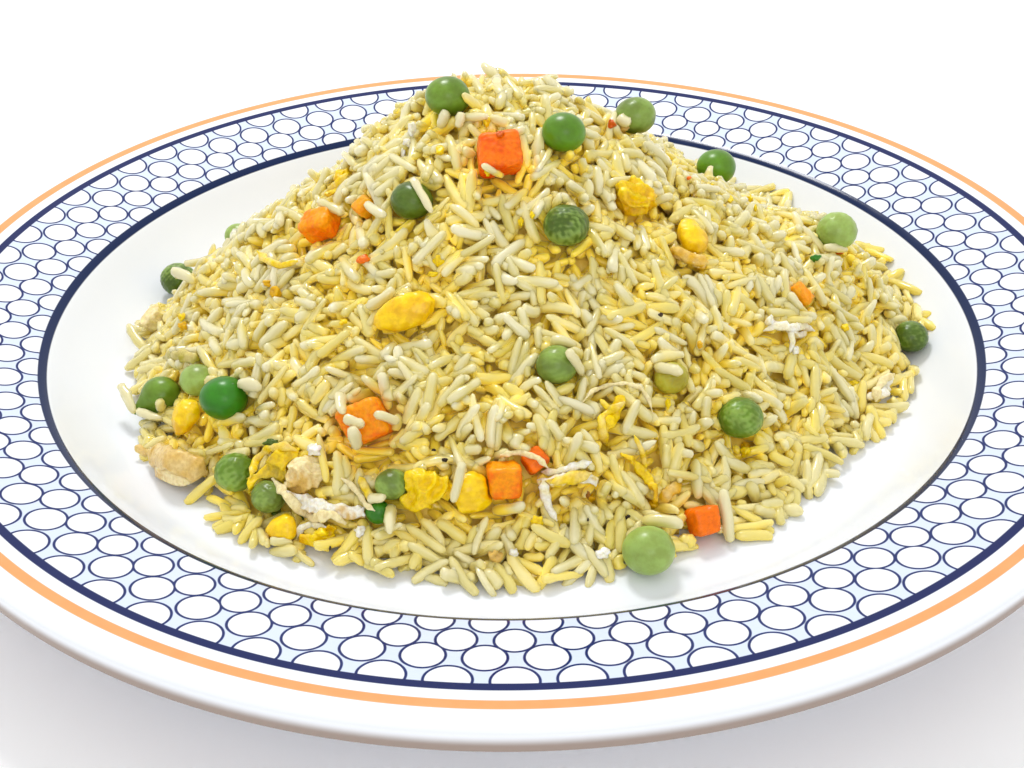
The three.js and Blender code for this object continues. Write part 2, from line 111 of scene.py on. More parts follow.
# ---- Rice ----
GRAIN_LENGTH = (6.6 * MM, 10.4 * MM)
GRAIN_WIDTH = (1.85 * MM, 2.6 * MM)
SHORT = 5.3 * MM  # grains up to this length go with the broken ones
BROKEN_SHARE = 0.22  # of the grains are broken
BROKEN_LENGTH = (0.4, 0.7)  # of a whole grain's
GRAIN_SIDES = 7
GRAIN_RINGS = 6
GRAIN_SHAPES = 40  # different ones in each piece
STICKY = 0.8  # of its half width is left off a grain's top, so that others sink into it
SINK = 0.65  # of its own half width a grain sinks in as well
APART = 0.45  # of its half width is the least between a grain's middle line and a topping
COVERED = 3  # of a grain's nine samples may lie over a topping
BED_TRIES = 45000
BED_TILT = (30, 75)  # degrees from the heap's surface, usual and greatest
BED_DEPTH = (0.8 * MM, 3.8 * MM)  # of the jumbled grains' middles under the heap's surface
BED_REACH = 4.5 * MM  # how far a jumbled grain's end may be above its middle
# Rounds, places in each, and the room in metres that a place must have.
FILL = (450, 40, 0.5 * MM)
STAND = (16, 30, -0.6 * MM)
REFILL = (60, 40, 0.5 * MM)
PATCH = (140, 40, 0.9 * MM)
SLACKS = [0.2 * MM, 0.7 * MM, 1.3 * MM]  # how far grains may end above the heap's surface
SLACK_SHARES = [0.5, 0.35, 0.15]
BUNDLED = 0.15  # of the grains have another stuck beside them
BUNDLE_STEP = 1.9  # millimetres from one grain of a bundle to the next
STAND_RISE = (10, 65)  # degrees from the heap's surface
STAND_OUT = (0.2, 2.2)  # millimetres by which the ends of standing grains show
WHOLE_KINDS = [("rice_straight", 0.25), ("rice_bent", 0.6), ("rice_curled", 0.95)]  # and how far each bends
BROKEN_BEND = 0.4
LAID_BEND = 0.3
LAID_SLOPE = 5 * MM  # by which a laid grain's ends differ at most in their distance from the camera
LAID_SINK = 0.55  # of its half width a laid grain sinks in

# ---- How pale and how golden the grains are; the gold in their gaps and on their sides is painted light ----
SIDE_PAINTED_LIGHT = 0.2  # how much more golden a grain's sides are painted than its outer face, as light through the grain
GAP_PAINT_DEPTH = 2.6 * MM  # so far under the grains around it, a grain is painted golden, as light in the gaps
AROUND = 1.6 * MM  # how wide the ground is that counts as around a grain
FOOT_PAINTED_LIGHT = 0.4  # of the full depth counts at the heap's thin foot
PALE_PATCHES = (26 * MM, 0.4)  # how wide, and their share in a grain's tint
RICH_PATCHES = (13 * MM, 0.3)  # how wide, and how much they add to the soaking

# ---- Seeds of the waves; where there are several pieces, each takes the next one ----
CORE_SEED = 3
CLUMP_SEED = 5
PALE_SEED = 31
RICH_SEED = 32
PEA_SEEDS = (100, 200, 300)
FOOD_SEEDS = (400, 500, 600)
THREAD_SEEDS = (700, 800)
BIT_SEEDS = (900, 950)


# ---- Colour ----
def srgb(red, green, blue):
    """A display colour of 0 to 255 as Blender's linear colour."""
    linear = [((c / 255 + 0.055) / 1.055) ** 2.4 if c > 10 else c / 255 / 12.92 for c in (red, green, blue)]
    return (*linear, 1.0)


# ---- Material nodes ----
class Shader:
    """One material and short calls that add its nodes. Sockets and plain numbers both serve as inputs."""

    def __init__(self, name, **surface):
        self.material = bpy.data.materials.new(name)
        self.material.use_nodes = True
        self.tree = self.material.node_tree
        self.surface = self.tree.nodes["Principled BSDF"]
        for setting, value in surface.items():
            self.surface.inputs[setting.replace("_", " ")].default_value = value

    def add(self, kind, inputs=(), output=0, **settings):
        node = self.tree.nodes.new("ShaderNode" + kind)
        for setting, value in settings.items():
            setattr(node, setting, value)
        for key, value in dict(inputs).items():
            self.feed(node.inputs[key], value)
        return node.outputs[output]

    def feed(self, socket, value):
        if isinstance(value, bpy.types.NodeSocket):
            self.tree.links.new(value, socket)
        else:
            socket.default_value = value

    def set(self, name, value):
        self.feed(self.surface.inputs[name], value)

    def math(self, operation, *values):
        return self.add("Math", dict(enumerate(values)), operation=operation)

    def distance(self, x, y):
        squares = self.math("ADD", self.math("MULTIPLY", x, x), self.math("MULTIPLY", y, y))
        return self.math("SQRT", squares)

    def attribute(self, name, output="Fac"):
        return self.add("Attribute", attribute_name=name, output=output)

    def place(self):
        return self.add("TexCoord", output="Object")

    def noise(self, size, detail=3.0, roughness=0.5):
        """Noise from 0 to 1 whose features are about so many metres across."""
        inputs = {"Vector": self.place(), "Scale": 1 / size, "Detail": detail, "Roughness": roughness}
        return self.add("TexNoise", inputs)

    def steps(self, value, low, high, to_low=0.0, to_high=1.0):
        """Value taken smoothly from to_low at low, to to_high at high."""
        inputs = {"Value": value, 1: low, 2: high, 3: to_low, 4: to_high}
        return self.add("MapRange", inputs, interpolation_type="SMOOTHSTEP")

    def mix(self, share, first, second, blend="MIX"):
        inputs = {0: share, 6: first, 7: second}
        return self.add("Mix", inputs, output=2, data_type="RGBA", blend_type=blend)

    def ramp(self, value, stops):
        node = self.tree.nodes.new("ShaderNodeValToRGB")
        self.feed(node.inputs[0], value)
        elements = node.color_ramp.elements
        while len(elements) < len(stops):
            elements.new(0.5)
        for element, (position, colour) in zip(elements, stops):
            element.position = position
            element.color = colour
        return node.outputs[0]

    def uneven_roughness(self, size, low, high):
        """Roughness from low to high in patches so many metres across."""
        self.set("Roughness", self.steps(self.noise(size), 0.3, 0.7, low, high))

    def bump(self, height, depth, strength=1.0):
        """Relief so many metres deep."""
        self.set("Normal", self.add("Bump", {"Height": height, "Distance": depth, "Strength": strength}))


def soft_flesh(shader, weight, radius, scale):
    """Light goes so deep under the surface."""
    shader.set("Subsurface Weight", weight)
    shader.surface.inputs["Subsurface Radius"].default_value = radius
    shader.surface.inputs["Subsurface Scale"].default_value = scale


# ---- Meshes ----
def make_piece(name, vertices, faces, material, nodes):
    """An object on the part's body from arrays of vertices and of equally long faces."""
    mesh = bpy.data.meshes.new(name)
    corners = faces.shape[1]
    mesh.vertices.add(len(vertices))
    mesh.vertices.foreach_set("co", np.ascontiguousarray(vertices, dtype=np.float32).ravel())
    mesh.loops.add(faces.size)
    mesh.loops.foreach_set("vertex_index", np.ascontiguousarray(faces, dtype=np.int32).ravel())
    mesh.polygons.add(len(faces))
    mesh.polygons.foreach_set("loop_start", np.arange(0, faces.size, corners, dtype=np.int32))
    mesh.polygons.foreach_set("use_smooth", np.ones(len(faces), dtype=bool))
    mesh.update(calc_edges=True)
    mesh.validate()
    return place_piece(bpy.data.objects.new(name, mesh), material, nodes)


def place_piece(piece, material, nodes):
    bpy.context.scene.collection.objects.link(piece)
    piece.data.materials.clear()
    piece.data.materials.append(material)
    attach(piece, "root")
    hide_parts(*nodes)
    return piece


def add_values(piece, name, values):
    """Stores one number for each vertex, for the material to read."""
    attribute = piece.data.attributes.new(name, "FLOAT", "POINT")
    attribute.data.foreach_set("value", np.ascontiguousarray(values, dtype=np.float32).ravel())


def add_colours(piece, name, colours):
    """Stores one linear colour for each vertex."""
    attribute = piece.data.attributes.new(name, "FLOAT_COLOR", "POINT")
    filled = np.hstack([colours, np.ones((len(colours), 1))])
    attribute.data.foreach_set("color", np.ascontiguousarray(filled, dtype=np.float32).ravel())


def add_map(piece, uv):
    """Stores the piece's own layout of its surface, one pair for each corner of each face."""
    layer = piece.data.uv_layers.new(name="OFBake")
    layer.data.foreach_set("uv", np.ascontiguousarray(uv, dtype=np.float32).ravel())


def mesh_arrays(mesh):
    vertices = np.empty(len(mesh.vertices) * 3, dtype=np.float32)
    mesh.vertices.foreach_get("co", vertices)
    mesh.calc_loop_triangles()
    triangles = np.empty(len(mesh.loop_triangles) * 3, dtype=np.int32)
    mesh.loop_triangles.foreach_get("vertices", triangles)
    return vertices.reshape(-1, 3).astype(float), triangles.reshape(-1, 3)


def search_tree(things):
    """A search tree of the surfaces of these pieces or CAD nodes."""
    points, triangles, count = [], [], 0
    for thing in things:
        vertices, faces = mesh_arrays(thing.data)
        points.append(vertices)
        triangles.append(faces + count)
        count += len(vertices)
    points, triangles = np.vstack(points).tolist(), np.vstack(triangles).tolist()
    return BVHTree.FromPolygons(points, triangles, all_triangles=True)


def tube_faces(rings, sides):
    """Two triangles for each side between neighbouring rings of so many vertices."""
    here = np.arange(rings - 1)[:, None] * sides + np.arange(sides)
    on = np.arange(rings - 1)[:, None] * sides + (np.arange(sides) + 1) % sides
    return np.stack([here, on, on + sides, here, on + sides, here + sides], axis=2).reshape(-1, 3)


def waves(points, size, amount, seed, ridged=False):
    """Smooth noise at each point from -1 to 1, made of so many waves of about this size, or with
    ridges where they cancel out."""
    draw = np.random.default_rng(seed)
    total = np.zeros(len(points))
    directions = draw.normal(size=(amount, 3))
    directions /= np.linalg.norm(directions, axis=1, keepdims=True)
    for direction in directions:
        pace = 2 * math.pi / size * draw.uniform(0.6, 1.6)
        total += np.sin(points @ direction * pace + draw.uniform(0, 2 * math.pi))
    total /= math.sqrt(amount)
    return 1 - 2 * np.minimum(np.abs(total), 1) if ridged else np.clip(total, -1, 1)


# ---- Plate ----
def arc(corner_before, corner, corner_after, reach, count=6):
    """A corner rounded from so far before it to so far after it."""
    corner = np.array(corner)
    back, on = np.array(corner_before) - corner, np.array(corner_after) - corner
    start = corner + back * reach / np.linalg.norm(back)
    end = corner + on * reach / np.linalg.norm(on)
    share = np.linspace(0, 1, count)[:, None]
    return (1 - share) ** 2 * start + 2 * share * (1 - share) * corner + share**2 * end


def well_height(radius):
    share = np.clip((radius - WELL_FLAT) / (WELL_MOUTH - WELL_FLAT), 0, 1)
    return WELL_FLOOR + WELL_RISE * share**1.5


def plate_profile():
    """The plate's section from the middle of its upper face round to the middle of its underside, and how
    many of its points are on the upper face."""
    well = [(r, well_height(r)) for r in np.linspace(0, WELL_MOUTH, 60)]
    mouth = arc(well[-3], well[-1], SHOULDER, MOUTH_ROUNDING)
    shoulder = arc(well[-1], SHOULDER, CROWN, SHOULDER_ROUNDING)
    quarter = np.linspace(0, math.pi / 2, 10)
    across, up = WALL_TOP[0] - CROWN[0], CROWN[1] - WALL_TOP[1]
    lip = np.stack([CROWN[0] + across * np.sin(quarter), WALL_TOP[1] + up * np.cos(quarter)], axis=1)
    under = [np.array(point) * MM for point in UNDERSIDE + FOOT]
    corners = [WALL_TOP, WALL_BOTTOM, *under]
    rounded = [arc(*corners[k - 1 : k + 2], UNDERSIDE_ROUNDING, 4) for k in range(1, len(corners) - 1)]
    upper = np.vstack([well[:-2], mouth, shoulder, lip])
    return np.vstack([upper, *rounded, under[-1:]]), len(upper)


def build_plate():
    profile, upper = plate_profile()
    angles = np.linspace(0, 2 * math.pi, PLATE_TURNS, endpoint=False)
    radius, height = profile[1:-1, 0], profile[1:-1, 1]
    x, y = np.outer(radius, np.cos(angles)), np.outer(radius, np.sin(angles))
    rings = np.stack([x, y, np.outer(height, np.ones(PLATE_TURNS))], axis=2)
    top, bottom = np.array([0, 0, profile[0, 1]]), np.array([0, 0, profile[-1, 1]])
    vertices = np.vstack([rings.reshape(-1, 3), top, bottom])
    ring_count, middle = len(radius), len(radius) * PLATE_TURNS
    here = np.arange(PLATE_TURNS)
    on = (here + 1) % PLATE_TURNS
    faces, row = [], []
    for ring in range(ring_count - 1):
        a, b = ring * PLATE_TURNS + here, ring * PLATE_TURNS + on
        c, d = b + PLATE_TURNS, a + PLATE_TURNS
        faces += [np.stack([a, d, b], axis=1), np.stack([b, d, c], axis=1)]
        row += [ring] * 2 * PLATE_TURNS
    faces.append(np.stack([np.full(PLATE_TURNS, middle), here, on], axis=1))
    row += [0] * PLATE_TURNS
    last = (ring_count - 1) * PLATE_TURNS
    faces.append(np.stack([np.full(PLATE_TURNS, middle + 1), last + on, last + here], axis=1))
    row += [ring_count] * PLATE_TURNS
    faces = np.vstack(faces)
    piece = make_piece("plate_glazed", vertices, faces, plate_material(), ["plate"])
    add_map(piece, plate_map(vertices, faces, np.array(row) < upper - 2))
    return piece


def plate_map(vertices, faces, is_upper):
    """The upper face seen from above fills the map, and the plain underside takes one of its corners."""
    corners = vertices[faces]
    turn = np.arctan2(corners[..., 1], corners[..., 0])
    radius = np.hypot(corners[..., 0], corners[..., 1])
    upper = 0.5 + 0.49 * corners[..., :2] / WALL_TOP[0]
    depth = radius + (WALL_TOP[1] - corners[..., 2])
    middle, reach = UNDERSIDE_SPOT
    small = reach * depth / depth.max()
    under = np.stack([middle + small * np.cos(turn), middle + small * np.sin(turn)], axis=2)
    return np.where(is_upper[:, None, None], upper, under)


def ring_line(shader, radius, line, softness=0.12):
    """1 on a printed line round the plate and 0 off it."""
    middle, width = line
    off = shader.math("ABSOLUTE", shader.math("SUBTRACT", radius, middle))
    return shader.steps(off, width / 2 - softness, width / 2 + softness, 1.0, 0.0)


def circle_rows(shader, radius, turn):
    """The distance to the nearest printed circle's edge, negative inside it, in millimetres."""
    nearest = None
    for row_radius, size, phase in CIRCLE_ROWS:
        shifted = shader.math("SUBTRACT", turn, phase)
        local = shader.math("WRAP", shifted, CIRCLE_STEP / 2, -CIRCLE_STEP / 2)
        across = shader.math("MULTIPLY", local, math.radians(row_radius))
        out = shader.math("SUBTRACT", radius, row_radius)
        edge = shader.math("SUBTRACT", shader.distance(across, out), size)
        nearest = edge if nearest is None else shader.math("SMOOTH_MIN", nearest, edge, 0.25)
    return nearest


def plate_material():
    shader = Shader("printed_melamine", IOR=1.42, Specular_IOR_Level=0.35)
    x, y, height = (shader.add("SeparateXYZ", {0: shader.place()}, output=k) for k in (0, 1, 2))
    radius = shader.math("MULTIPLY", shader.distance(x, y), 1 / MM)
    from_front = shader.math("ARCTAN2", x, shader.math("MULTIPLY", y, -1.0))
    turn = shader.math("MULTIPLY", from_front, 180 / math.pi)

    edge = circle_rows(shader, radius, turn)
    wobble = shader.math("MULTIPLY", shader.math("SUBTRACT", shader.noise(3 * MM), 0.5), 0.12)
    outline = shader.math("ABSOLUTE", shader.math("ADD", edge, wobble))
    ink = shader.steps(outline, OUTLINE_WIDTH / 2 - EDGE, OUTLINE_WIDTH / 2 + EDGE, 1.0, 0.0)
    inside = shader.steps(edge, -0.2, 0.1, 1.0, 0.0)
    past_inner = shader.steps(radius, INNER_LINE[0] - EDGE, INNER_LINE[0] + EDGE)
    before_outer = shader.steps(radius, OUTER_LINE[0] - EDGE, OUTER_LINE[0] + EDGE, 1.0, 0.0)
    in_band = shader.math("MULTIPLY", past_inner, before_outer)
    glaze = shader.mix(shader.noise(30 * MM), srgb(232, 236, 243), srgb(237, 240, 245))
    ground = shader.mix(inside, srgb(208, 219, 240), glaze)
    navy = shader.mix(shader.noise(1.5 * MM), srgb(0, 20, 84), srgb(16, 42, 108))
    border = shader.mix(ink, ground, navy)
    colour = shader.mix(in_band, glaze, border)
    orange = shader.mix(shader.noise(4 * MM), srgb(243, 152, 92), srgb(247, 166, 108))
    lines = ((INNER_LINE, srgb(0, 28, 74)), (OUTER_LINE, srgb(0, 22, 84)), (ORANGE_LINE, orange))
    for line, paint in lines:
        colour = shader.mix(ring_line(shader, radius, line), colour, paint)
    # Painted shade: the wall's lower band is painted taupe-grey, darker towards the bottom, as shade where
    # the lip turns under.
    shade_by_height = shader.steps(height, WALL_BOTTOM[1] + 1.2 * MM, WALL_TOP[1], 1.0, 0.0)
    wall = shader.math("MULTIPLY", shade_by_height, shader.steps(radius, *WALL_SHADE_SPAN))
    shader.set("Base Color", shader.mix(wall, colour, srgb(154, 138, 128)))
    shader.uneven_roughness(14 * MM, 0.12, 0.22)
    shader.bump(shader.noise(22 * MM, detail=1.0), 0.25 * MM, 0.35)
    return shader.material


# ---- Height maps of the heap ----
cells = (np.arange(MAP_CELLS) - MAP_CELLS / 2 + 0.5) * CELL
map_x, map_y = np.meshgrid(cells, cells, indexing="ij")
plate_heights = well_height(np.hypot(map_x, map_y))


def blur(values, size):
    """A map blurred over about so many metres."""
    reach = int(3 * size / CELL)
    offsets = np.arange(-reach, reach + 1) * CELL
    weights = np.exp(-0.5 * (offsets / size) ** 2)
    weights /= weights.sum()
    for axis in (0, 1):
        values = np.apply_along_axis(lambda line: np.convolve(line, weights, mode="same"), axis, values)
    return values


def heap_heights(topping_tree):
    """The heap's surface without its grains' bumps, carried on under the toppings, where there is rice, and
    the heights of the toppings' tops."""
    rice = search_tree([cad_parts["rice"]])
    heights = np.zeros_like(map_x)
    is_rice = np.zeros(map_x.shape, dtype=bool)
    topping_tops = np.zeros_like(map_x)
    low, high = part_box("rice")
    top, down = high[2] + 5 * MM, Vector((0, 0, -1))
    inside = (map_x > low[0]) & (map_x < high[0]) & (map_y > low[1]) & (map_y < high[1])
    for i, k in zip(*np.nonzero(inside)):
        start = Vector((map_x[i, k], map_y[i, k], top))
        hit = rice.ray_cast(start, down)[0]
        if hit is not None:
            heights[i, k] = hit.z
            is_rice[i, k] = True
        above = topping_tree.ray_cast(start, down)[0]
        topping_tops[i, k] = above.z if above is not None else 0
    known = (is_rice & (topping_tops == 0)).astype(float)
    near, far = blur(known, SMOOTHED), blur(known, BRIDGED)
    smooth = blur(heights * known, SMOOTHED) / np.maximum(near, 1e-6)
    wide = blur(heights * known, BRIDGED) / np.maximum(far, 1e-6)
    return np.where(near > 0.25, smooth, wide), is_rice, topping_tops


def cell_of(x, y):
    """The cells of the height maps that these places are in."""
    i = np.clip((x / CELL + MAP_CELLS / 2).astype(int), 0, MAP_CELLS - 1)
    k = np.clip((y / CELL + MAP_CELLS / 2).astype(int), 0, MAP_CELLS - 1)
    return i, k


def core_heights(surface):
    """The core's height under each cell, deeper where the heap is steep."""
    slope_x, slope_y = np.gradient(surface, CELL)
    steepness = np.clip(np.sqrt(1 + slope_x**2 + slope_y**2), 1, CORE_STEEPEST)
    return np.maximum(surface - CORE_DEPTH * steepness, plate_heights)


# ---- Grains ----
class Heap:
    """The heap's grains. First a jumbled bed, then grains let down one by one that rest on what lies under
    them until they reach the heap's surface, then single grains that stand out of it."""

    SAMPLES = np.linspace(-1, 1, 9)  # along a grain
    # Two samples that a grain may rest on, one of them towards each end.
    PAIRS = np.array([(low, high) for low in range(5) for high in range(4, 9) if low < high]).T

    def __init__(self, surface, is_rice, toppings, topping_tops):
        self.surface = surface
        self.toppings = toppings
        self.is_rice = is_rice
        self.top = np.maximum(np.where(is_rice, core_heights(surface), plate_heights), topping_tops)
        self.is_topping = topping_tops > 0
        self.taken = np.zeros((MAP_CELLS, MAP_CELLS, int(GRID_HEIGHT / CELL)), dtype=bool)
        self.grains = []

    def on_surface(self, i, k):
        return np.array([map_x[i, k], map_y[i, k], self.surface[i, k]])

    def normal_at(self, i, k):
        reach = 4
        slope_x = (self.surface[i + reach, k] - self.surface[i - reach, k]) / (2 * reach * CELL)
        slope_y = (self.surface[i, k + reach] - self.surface[i, k - reach]) / (2 * reach * CELL)
        normal = np.array([-slope_x, -slope_y, 1])
        return normal / np.linalg.norm(normal)

    def is_clear(self, middle, ahead, half, width):
        """Whether a grain stays out of the toppings."""
        for share in (-1, -0.5, 0, 0.5, 1):
            point = Vector(middle + ahead * half * share)
            hit, normal, _, distance = self.toppings.find_nearest(point, 4 * width)
            if hit is not None and ((point - hit).dot(normal) < 0 or distance < APART * width):
                return False
        return True

    def shows_toppings(self, middle, ahead, half):
        """Whether a grain on top hides no more of a topping than its end can."""
        spine = middle + ahead * (self.SAMPLES * half)[:, None]
        return self.is_topping[cell_of(spine[:, 0], spine[:, 1])].sum() <= COVERED

    def is_free(self, middle, ahead, half, width):
        """Whether a grain's middle parts stay out of the other grains."""
        side = np.cross(ahead, [0.31, 0.52, 0.79])
        side *= 0.3 * width / np.linalg.norm(side)
        out = np.cross(ahead, side)
        spine = middle + ahead * (self.SAMPLES * half)[:, None]
        points = np.vstack([spine, spine + side, spine - side, spine + out, spine - out])
        i, k = cell_of(points[:, 0], points[:, 1])
        level = np.clip((points[:, 2] / CELL).astype(int), 0, self.taken.shape[2] - 1)
        return not self.taken[i, k, level].any()

    def cover(self, middle, ahead, half, width):
        """Raises the map to the top of a new grain and marks the room it takes."""
        reach = int((half + width) / CELL) + 2
        i, k = cell_of(np.array(middle[0]), np.array(middle[1]))
        rows = slice(max(i - reach, 0), i + reach + 1)
        columns = slice(max(k - reach, 0), k + reach + 1)
        dx, dy = map_x[rows, columns] - middle[0], map_y[rows, columns] - middle[1]
        flat = math.hypot(ahead[0], ahead[1])
        unit = ahead[:2] / flat
        along = dx * unit[0] + dy * unit[1]
        along_held = np.clip(along, -half * flat, half * flat)
        off = np.hypot(dx - along_held * unit[0], dy - along_held * unit[1])
        height = middle[2] + along_held * ahead[2] / flat + np.sqrt(np.maximum(width**2 - off**2, 0))
        held = self.top[rows, columns]
        held[:] = np.where(off < width, np.maximum(held, height - STICKY * width), held)
        low = max(int((middle[2] - abs(ahead[2]) * half - width) / CELL), 0)
        high = int((middle[2] + abs(ahead[2]) * half + width) / CELL) + 1
        dz = (np.arange(low, high) + 0.5) * CELL - middle[2]
        length_at = dx[..., None] * ahead[0] + dy[..., None] * ahead[1] + dz * ahead[2]
        held_at = np.clip(length_at, -half, half)
        squares = (
            (dx[..., None] - held_at * ahead[0]) ** 2
            + (dy[..., None] - held_at * ahead[1]) ** 2
            + (dz - held_at * ahead[2]) ** 2
        )
        self.taken[rows, columns, low:high] |= squares < (0.8 * width) ** 2

    def new_size(self, broken=BROKEN_SHARE):
        length = rng.uniform(*GRAIN_LENGTH) * (rng.uniform(*BROKEN_LENGTH) if rng.random() < broken else 1)
        width = rng.uniform(*GRAIN_WIDTH) / 2
        return length, width, length / 2 - width

    def add(self, middle, ahead, length, width):
        self.cover(middle, ahead, length / 2 - width, width)
        self.grains.append((middle, ahead, length, width))

    def slanted(self, normal, rise):
        """A random direction that rises so far from the heap's surface."""
        heading = rng.uniform(0, 2 * math.pi)
        flat = np.array([math.cos(heading), math.sin(heading), 0])
        flat -= normal * flat.dot(normal)
        flat /= np.linalg.norm(flat)
        return flat * math.cos(rise) + normal * math.sin(rise)

    def bed(self, tries):
        """Grains every way up, wherever one still fits under the heap's surface."""
        usual, greatest = BED_TILT
        cells_with_rice = np.argwhere(self.is_rice)
        for i, k in cells_with_rice[rng.integers(0, len(cells_with_rice), tries)]:
            length, width, half = self.new_size()
            normal = self.normal_at(i, k)
            ahead = self.slanted(normal, math.radians(np.clip(rng.normal(0, usual), -greatest, greatest)))
            middle = self.on_surface(i, k) - normal * rng.uniform(*BED_DEPTH)
            lift = abs(ahead.dot(normal)) * half
            if middle[2] - abs(ahead[2]) * half - width < plate_heights[i, k]:
                continue
            if lift > BED_REACH or not self.is_free(middle, ahead, half, width):
                continue
            if self.is_clear(middle, ahead, half, width):
                self.add(middle, ahead, length, width)

    def rest(self, x, y, headings, half, width):
        """How a grain comes to rest in the heading of those given where it sinks in deepest: the heading,
        the height of its middle and its slope."""
        ahead = np.stack([np.cos(headings), np.sin(headings)])[:, :, None]
        aside = np.stack([-ahead[1], ahead[0]]) * 0.45 * width
        along = self.SAMPLES * half
        px, py = x + along * ahead[0], y + along * ahead[1]
        left = self.top[cell_of(px + aside[0], py + aside[1])]
        right = self.top[cell_of(px - aside[0], py - aside[1])]
        under = np.maximum(np.maximum(left, right) - 0.4 * width, self.top[cell_of(px, py)])
        low, high = self.PAIRS
        slopes = (under[:, high] - under[:, low]) / (along[high] - along[low])
        middles = under[:, low] - slopes * along[low]
        held = np.argmax(middles, axis=1)
        rows = np.arange(len(headings))
        best = int(np.argmin(middles[rows, held]))
        return headings[best], middles[best, held[best]] + width, slopes[best, held[best]]

    def let_down(self, x, y, slack, headings, broken=BROKEN_SHARE):
        """Lets a grain down here, unless it would end more than the slack above the heap's surface."""
        length, width, half = self.new_size(broken)
        heading, height, slope = self.rest(x, y, headings, half, width)
        slope = np.clip(slope + rng.normal(0, 0.1), -1.5, 1.5)
        ahead = np.array([math.cos(heading), math.sin(heading), slope])
        ahead /= np.linalg.norm(ahead)
        middle = np.array([x, y, height - SINK * width])
        too_high = middle[2] + width > self.surface[cell_of(np.array(x), np.array(y))] + slack
        if too_high or not self.shows_toppings(middle, ahead, half):
            return None
        if not self.is_clear(middle, ahead, half, width):
            return None
        self.add(middle, ahead, length, width)
        return heading

    def places(self, count, spare):
        """Random places, more of them where the heap is further from its surface."""
        room = np.clip(self.surface - self.top - spare, 0, None) ** 2 * self.is_rice
        total = room.sum()
        if total <= 0:
            return []
        picks = rng.choice(room.size, size=count, p=(room / total).ravel())
        return list(zip(*np.unravel_index(picks, room.shape)))

    def fill(self, rounds, batch, spare):
        """Grains let down one by one, some of them side by side in a bundle."""
        for _ in range(rounds):
            for i, k in self.places(batch, spare):
                x, y = map_x[i, k], map_y[i, k]
                slack = rng.choice(SLACKS, p=SLACK_SHARES)
                heading = self.let_down(x, y, slack, rng.uniform(0, math.pi, 3))
                while heading is not None and rng.random() < BUNDLED:
                    x -= math.sin(heading) * BUNDLE_STEP * MM
                    y += math.cos(heading) * BUNDLE_STEP * MM
                    heading = self.let_down(x, y, slack, heading + rng.normal(0, 0.25, 2))

    def patch(self, rounds, batch, spare):
        """Broken grains in the gaps that are too small for whole ones."""
        for _ in range(rounds):
            for i, k in self.places(batch, spare):
                headings = rng.uniform(0, math.pi, 5)
                self.let_down(map_x[i, k], map_y[i, k], SLACKS[0], headings, broken=1.0)

    def stand(self, rounds, batch, spare):
        """Grains stuck in at a slant, so that their ends stand out of the heap."""
        for _ in range(rounds):
            for i, k in self.places(batch, spare):
                length, width, half = self.new_size()
                normal = self.normal_at(i, k)
                rise = math.radians(rng.uniform(*STAND_RISE))
                ahead = self.slanted(normal, rise)
                out = rng.uniform(*STAND_OUT) * MM - half * math.sin(rise) - width
                middle = self.on_surface(i, k) + normal * out
                above_plate = middle[2] - half * abs(ahead[2]) - width > plate_heights[i, k]
                if not above_plate or not self.shows_toppings(middle, ahead, half):
                    continue
                if self.is_clear(middle, ahead, half, width):
                    self.add(middle, ahead, length, width)


def grain_shape(bend):
    """One grain along X, 2 long and 2 across, as rings of vertices with a tip at each end."""
    stations = np.sin(np.linspace(-1, 1, GRAIN_RINGS + 2) * math.pi / 2)
    angles = np.linspace(0, 2 * math.pi, GRAIN_SIDES, endpoint=False)
    taper, flat, belly = rng.uniform(0, 0.14), rng.uniform(0.7, 0.95), rng.uniform(-0.05, 0.2)
    blunt = np.array([rng.uniform(5, 12), rng.uniform(3.5, 8)])  # at the germ's end and at the tip
    points = []
    for station in stations[1:-1]:
        swell = (1 - abs(station) ** blunt[int(station > 0)]) ** 0.5
        swell *= (1 - taper * station) * (1 + belly * (0.5 - station**2))
        uneven = 1 + rng.normal(0, 0.06) + rng.normal(0, 0.07, GRAIN_SIDES)
        across, up = np.cos(angles) * swell * uneven, np.sin(angles) * swell * uneven * flat
        points.append(np.stack([np.full(GRAIN_SIDES, station), across, up], axis=1))
    points = np.vstack([*points, [[-1, 0, 0]], [[1, 0, 0]]])
    points[:, 1] += bend * (points[:, 0] ** 2 - 0.4)
    points[:, 2] += rng.uniform(-0.3, 0.3) * bend * (points[:, 0] ** 3 - points[:, 0])
    return points


def grain_faces():
    tail = GRAIN_RINGS * GRAIN_SIDES
    last = (GRAIN_RINGS - 1) * GRAIN_SIDES
    caps = []
    for side in range(GRAIN_SIDES):
        on = (side + 1) % GRAIN_SIDES
        caps += [(tail, on, side), (tail + 1, last + side, last + on)]
    return np.vstack([tube_faces(GRAIN_RINGS, GRAIN_SIDES), caps])


def grain_coordinates():
    """For each corner of each face, how far round the grain and how far along it."""
    around = np.append(np.tile(np.arange(GRAIN_SIDES), GRAIN_RINGS), [0, 0]) / GRAIN_SIDES
    tip = GRAIN_RINGS + 1
    along = np.append(np.repeat(np.arange(1, tip), GRAIN_SIDES), [0, tip]) / tip
    faces = grain_faces()
    u, v = around[faces], along[faces]
    wraps = (u.max(axis=1) - u.min(axis=1) > 0.5)[:, None] & (u == 0)
    return np.stack([np.where(wraps, 1.0, u), v], axis=2)


def heap_normals(surface, places):
    """The directions square to the heap's surface at these places."""
    slope_x, slope_y = np.gradient(surface, CELL)
    cells_here = cell_of(places[:, 0], places[:, 1])
    normals = np.stack([-slope_x[cells_here], -slope_y[cells_here], np.ones(len(places))], axis=1)
    return normals / np.linalg.norm(normals, axis=1, keepdims=True)


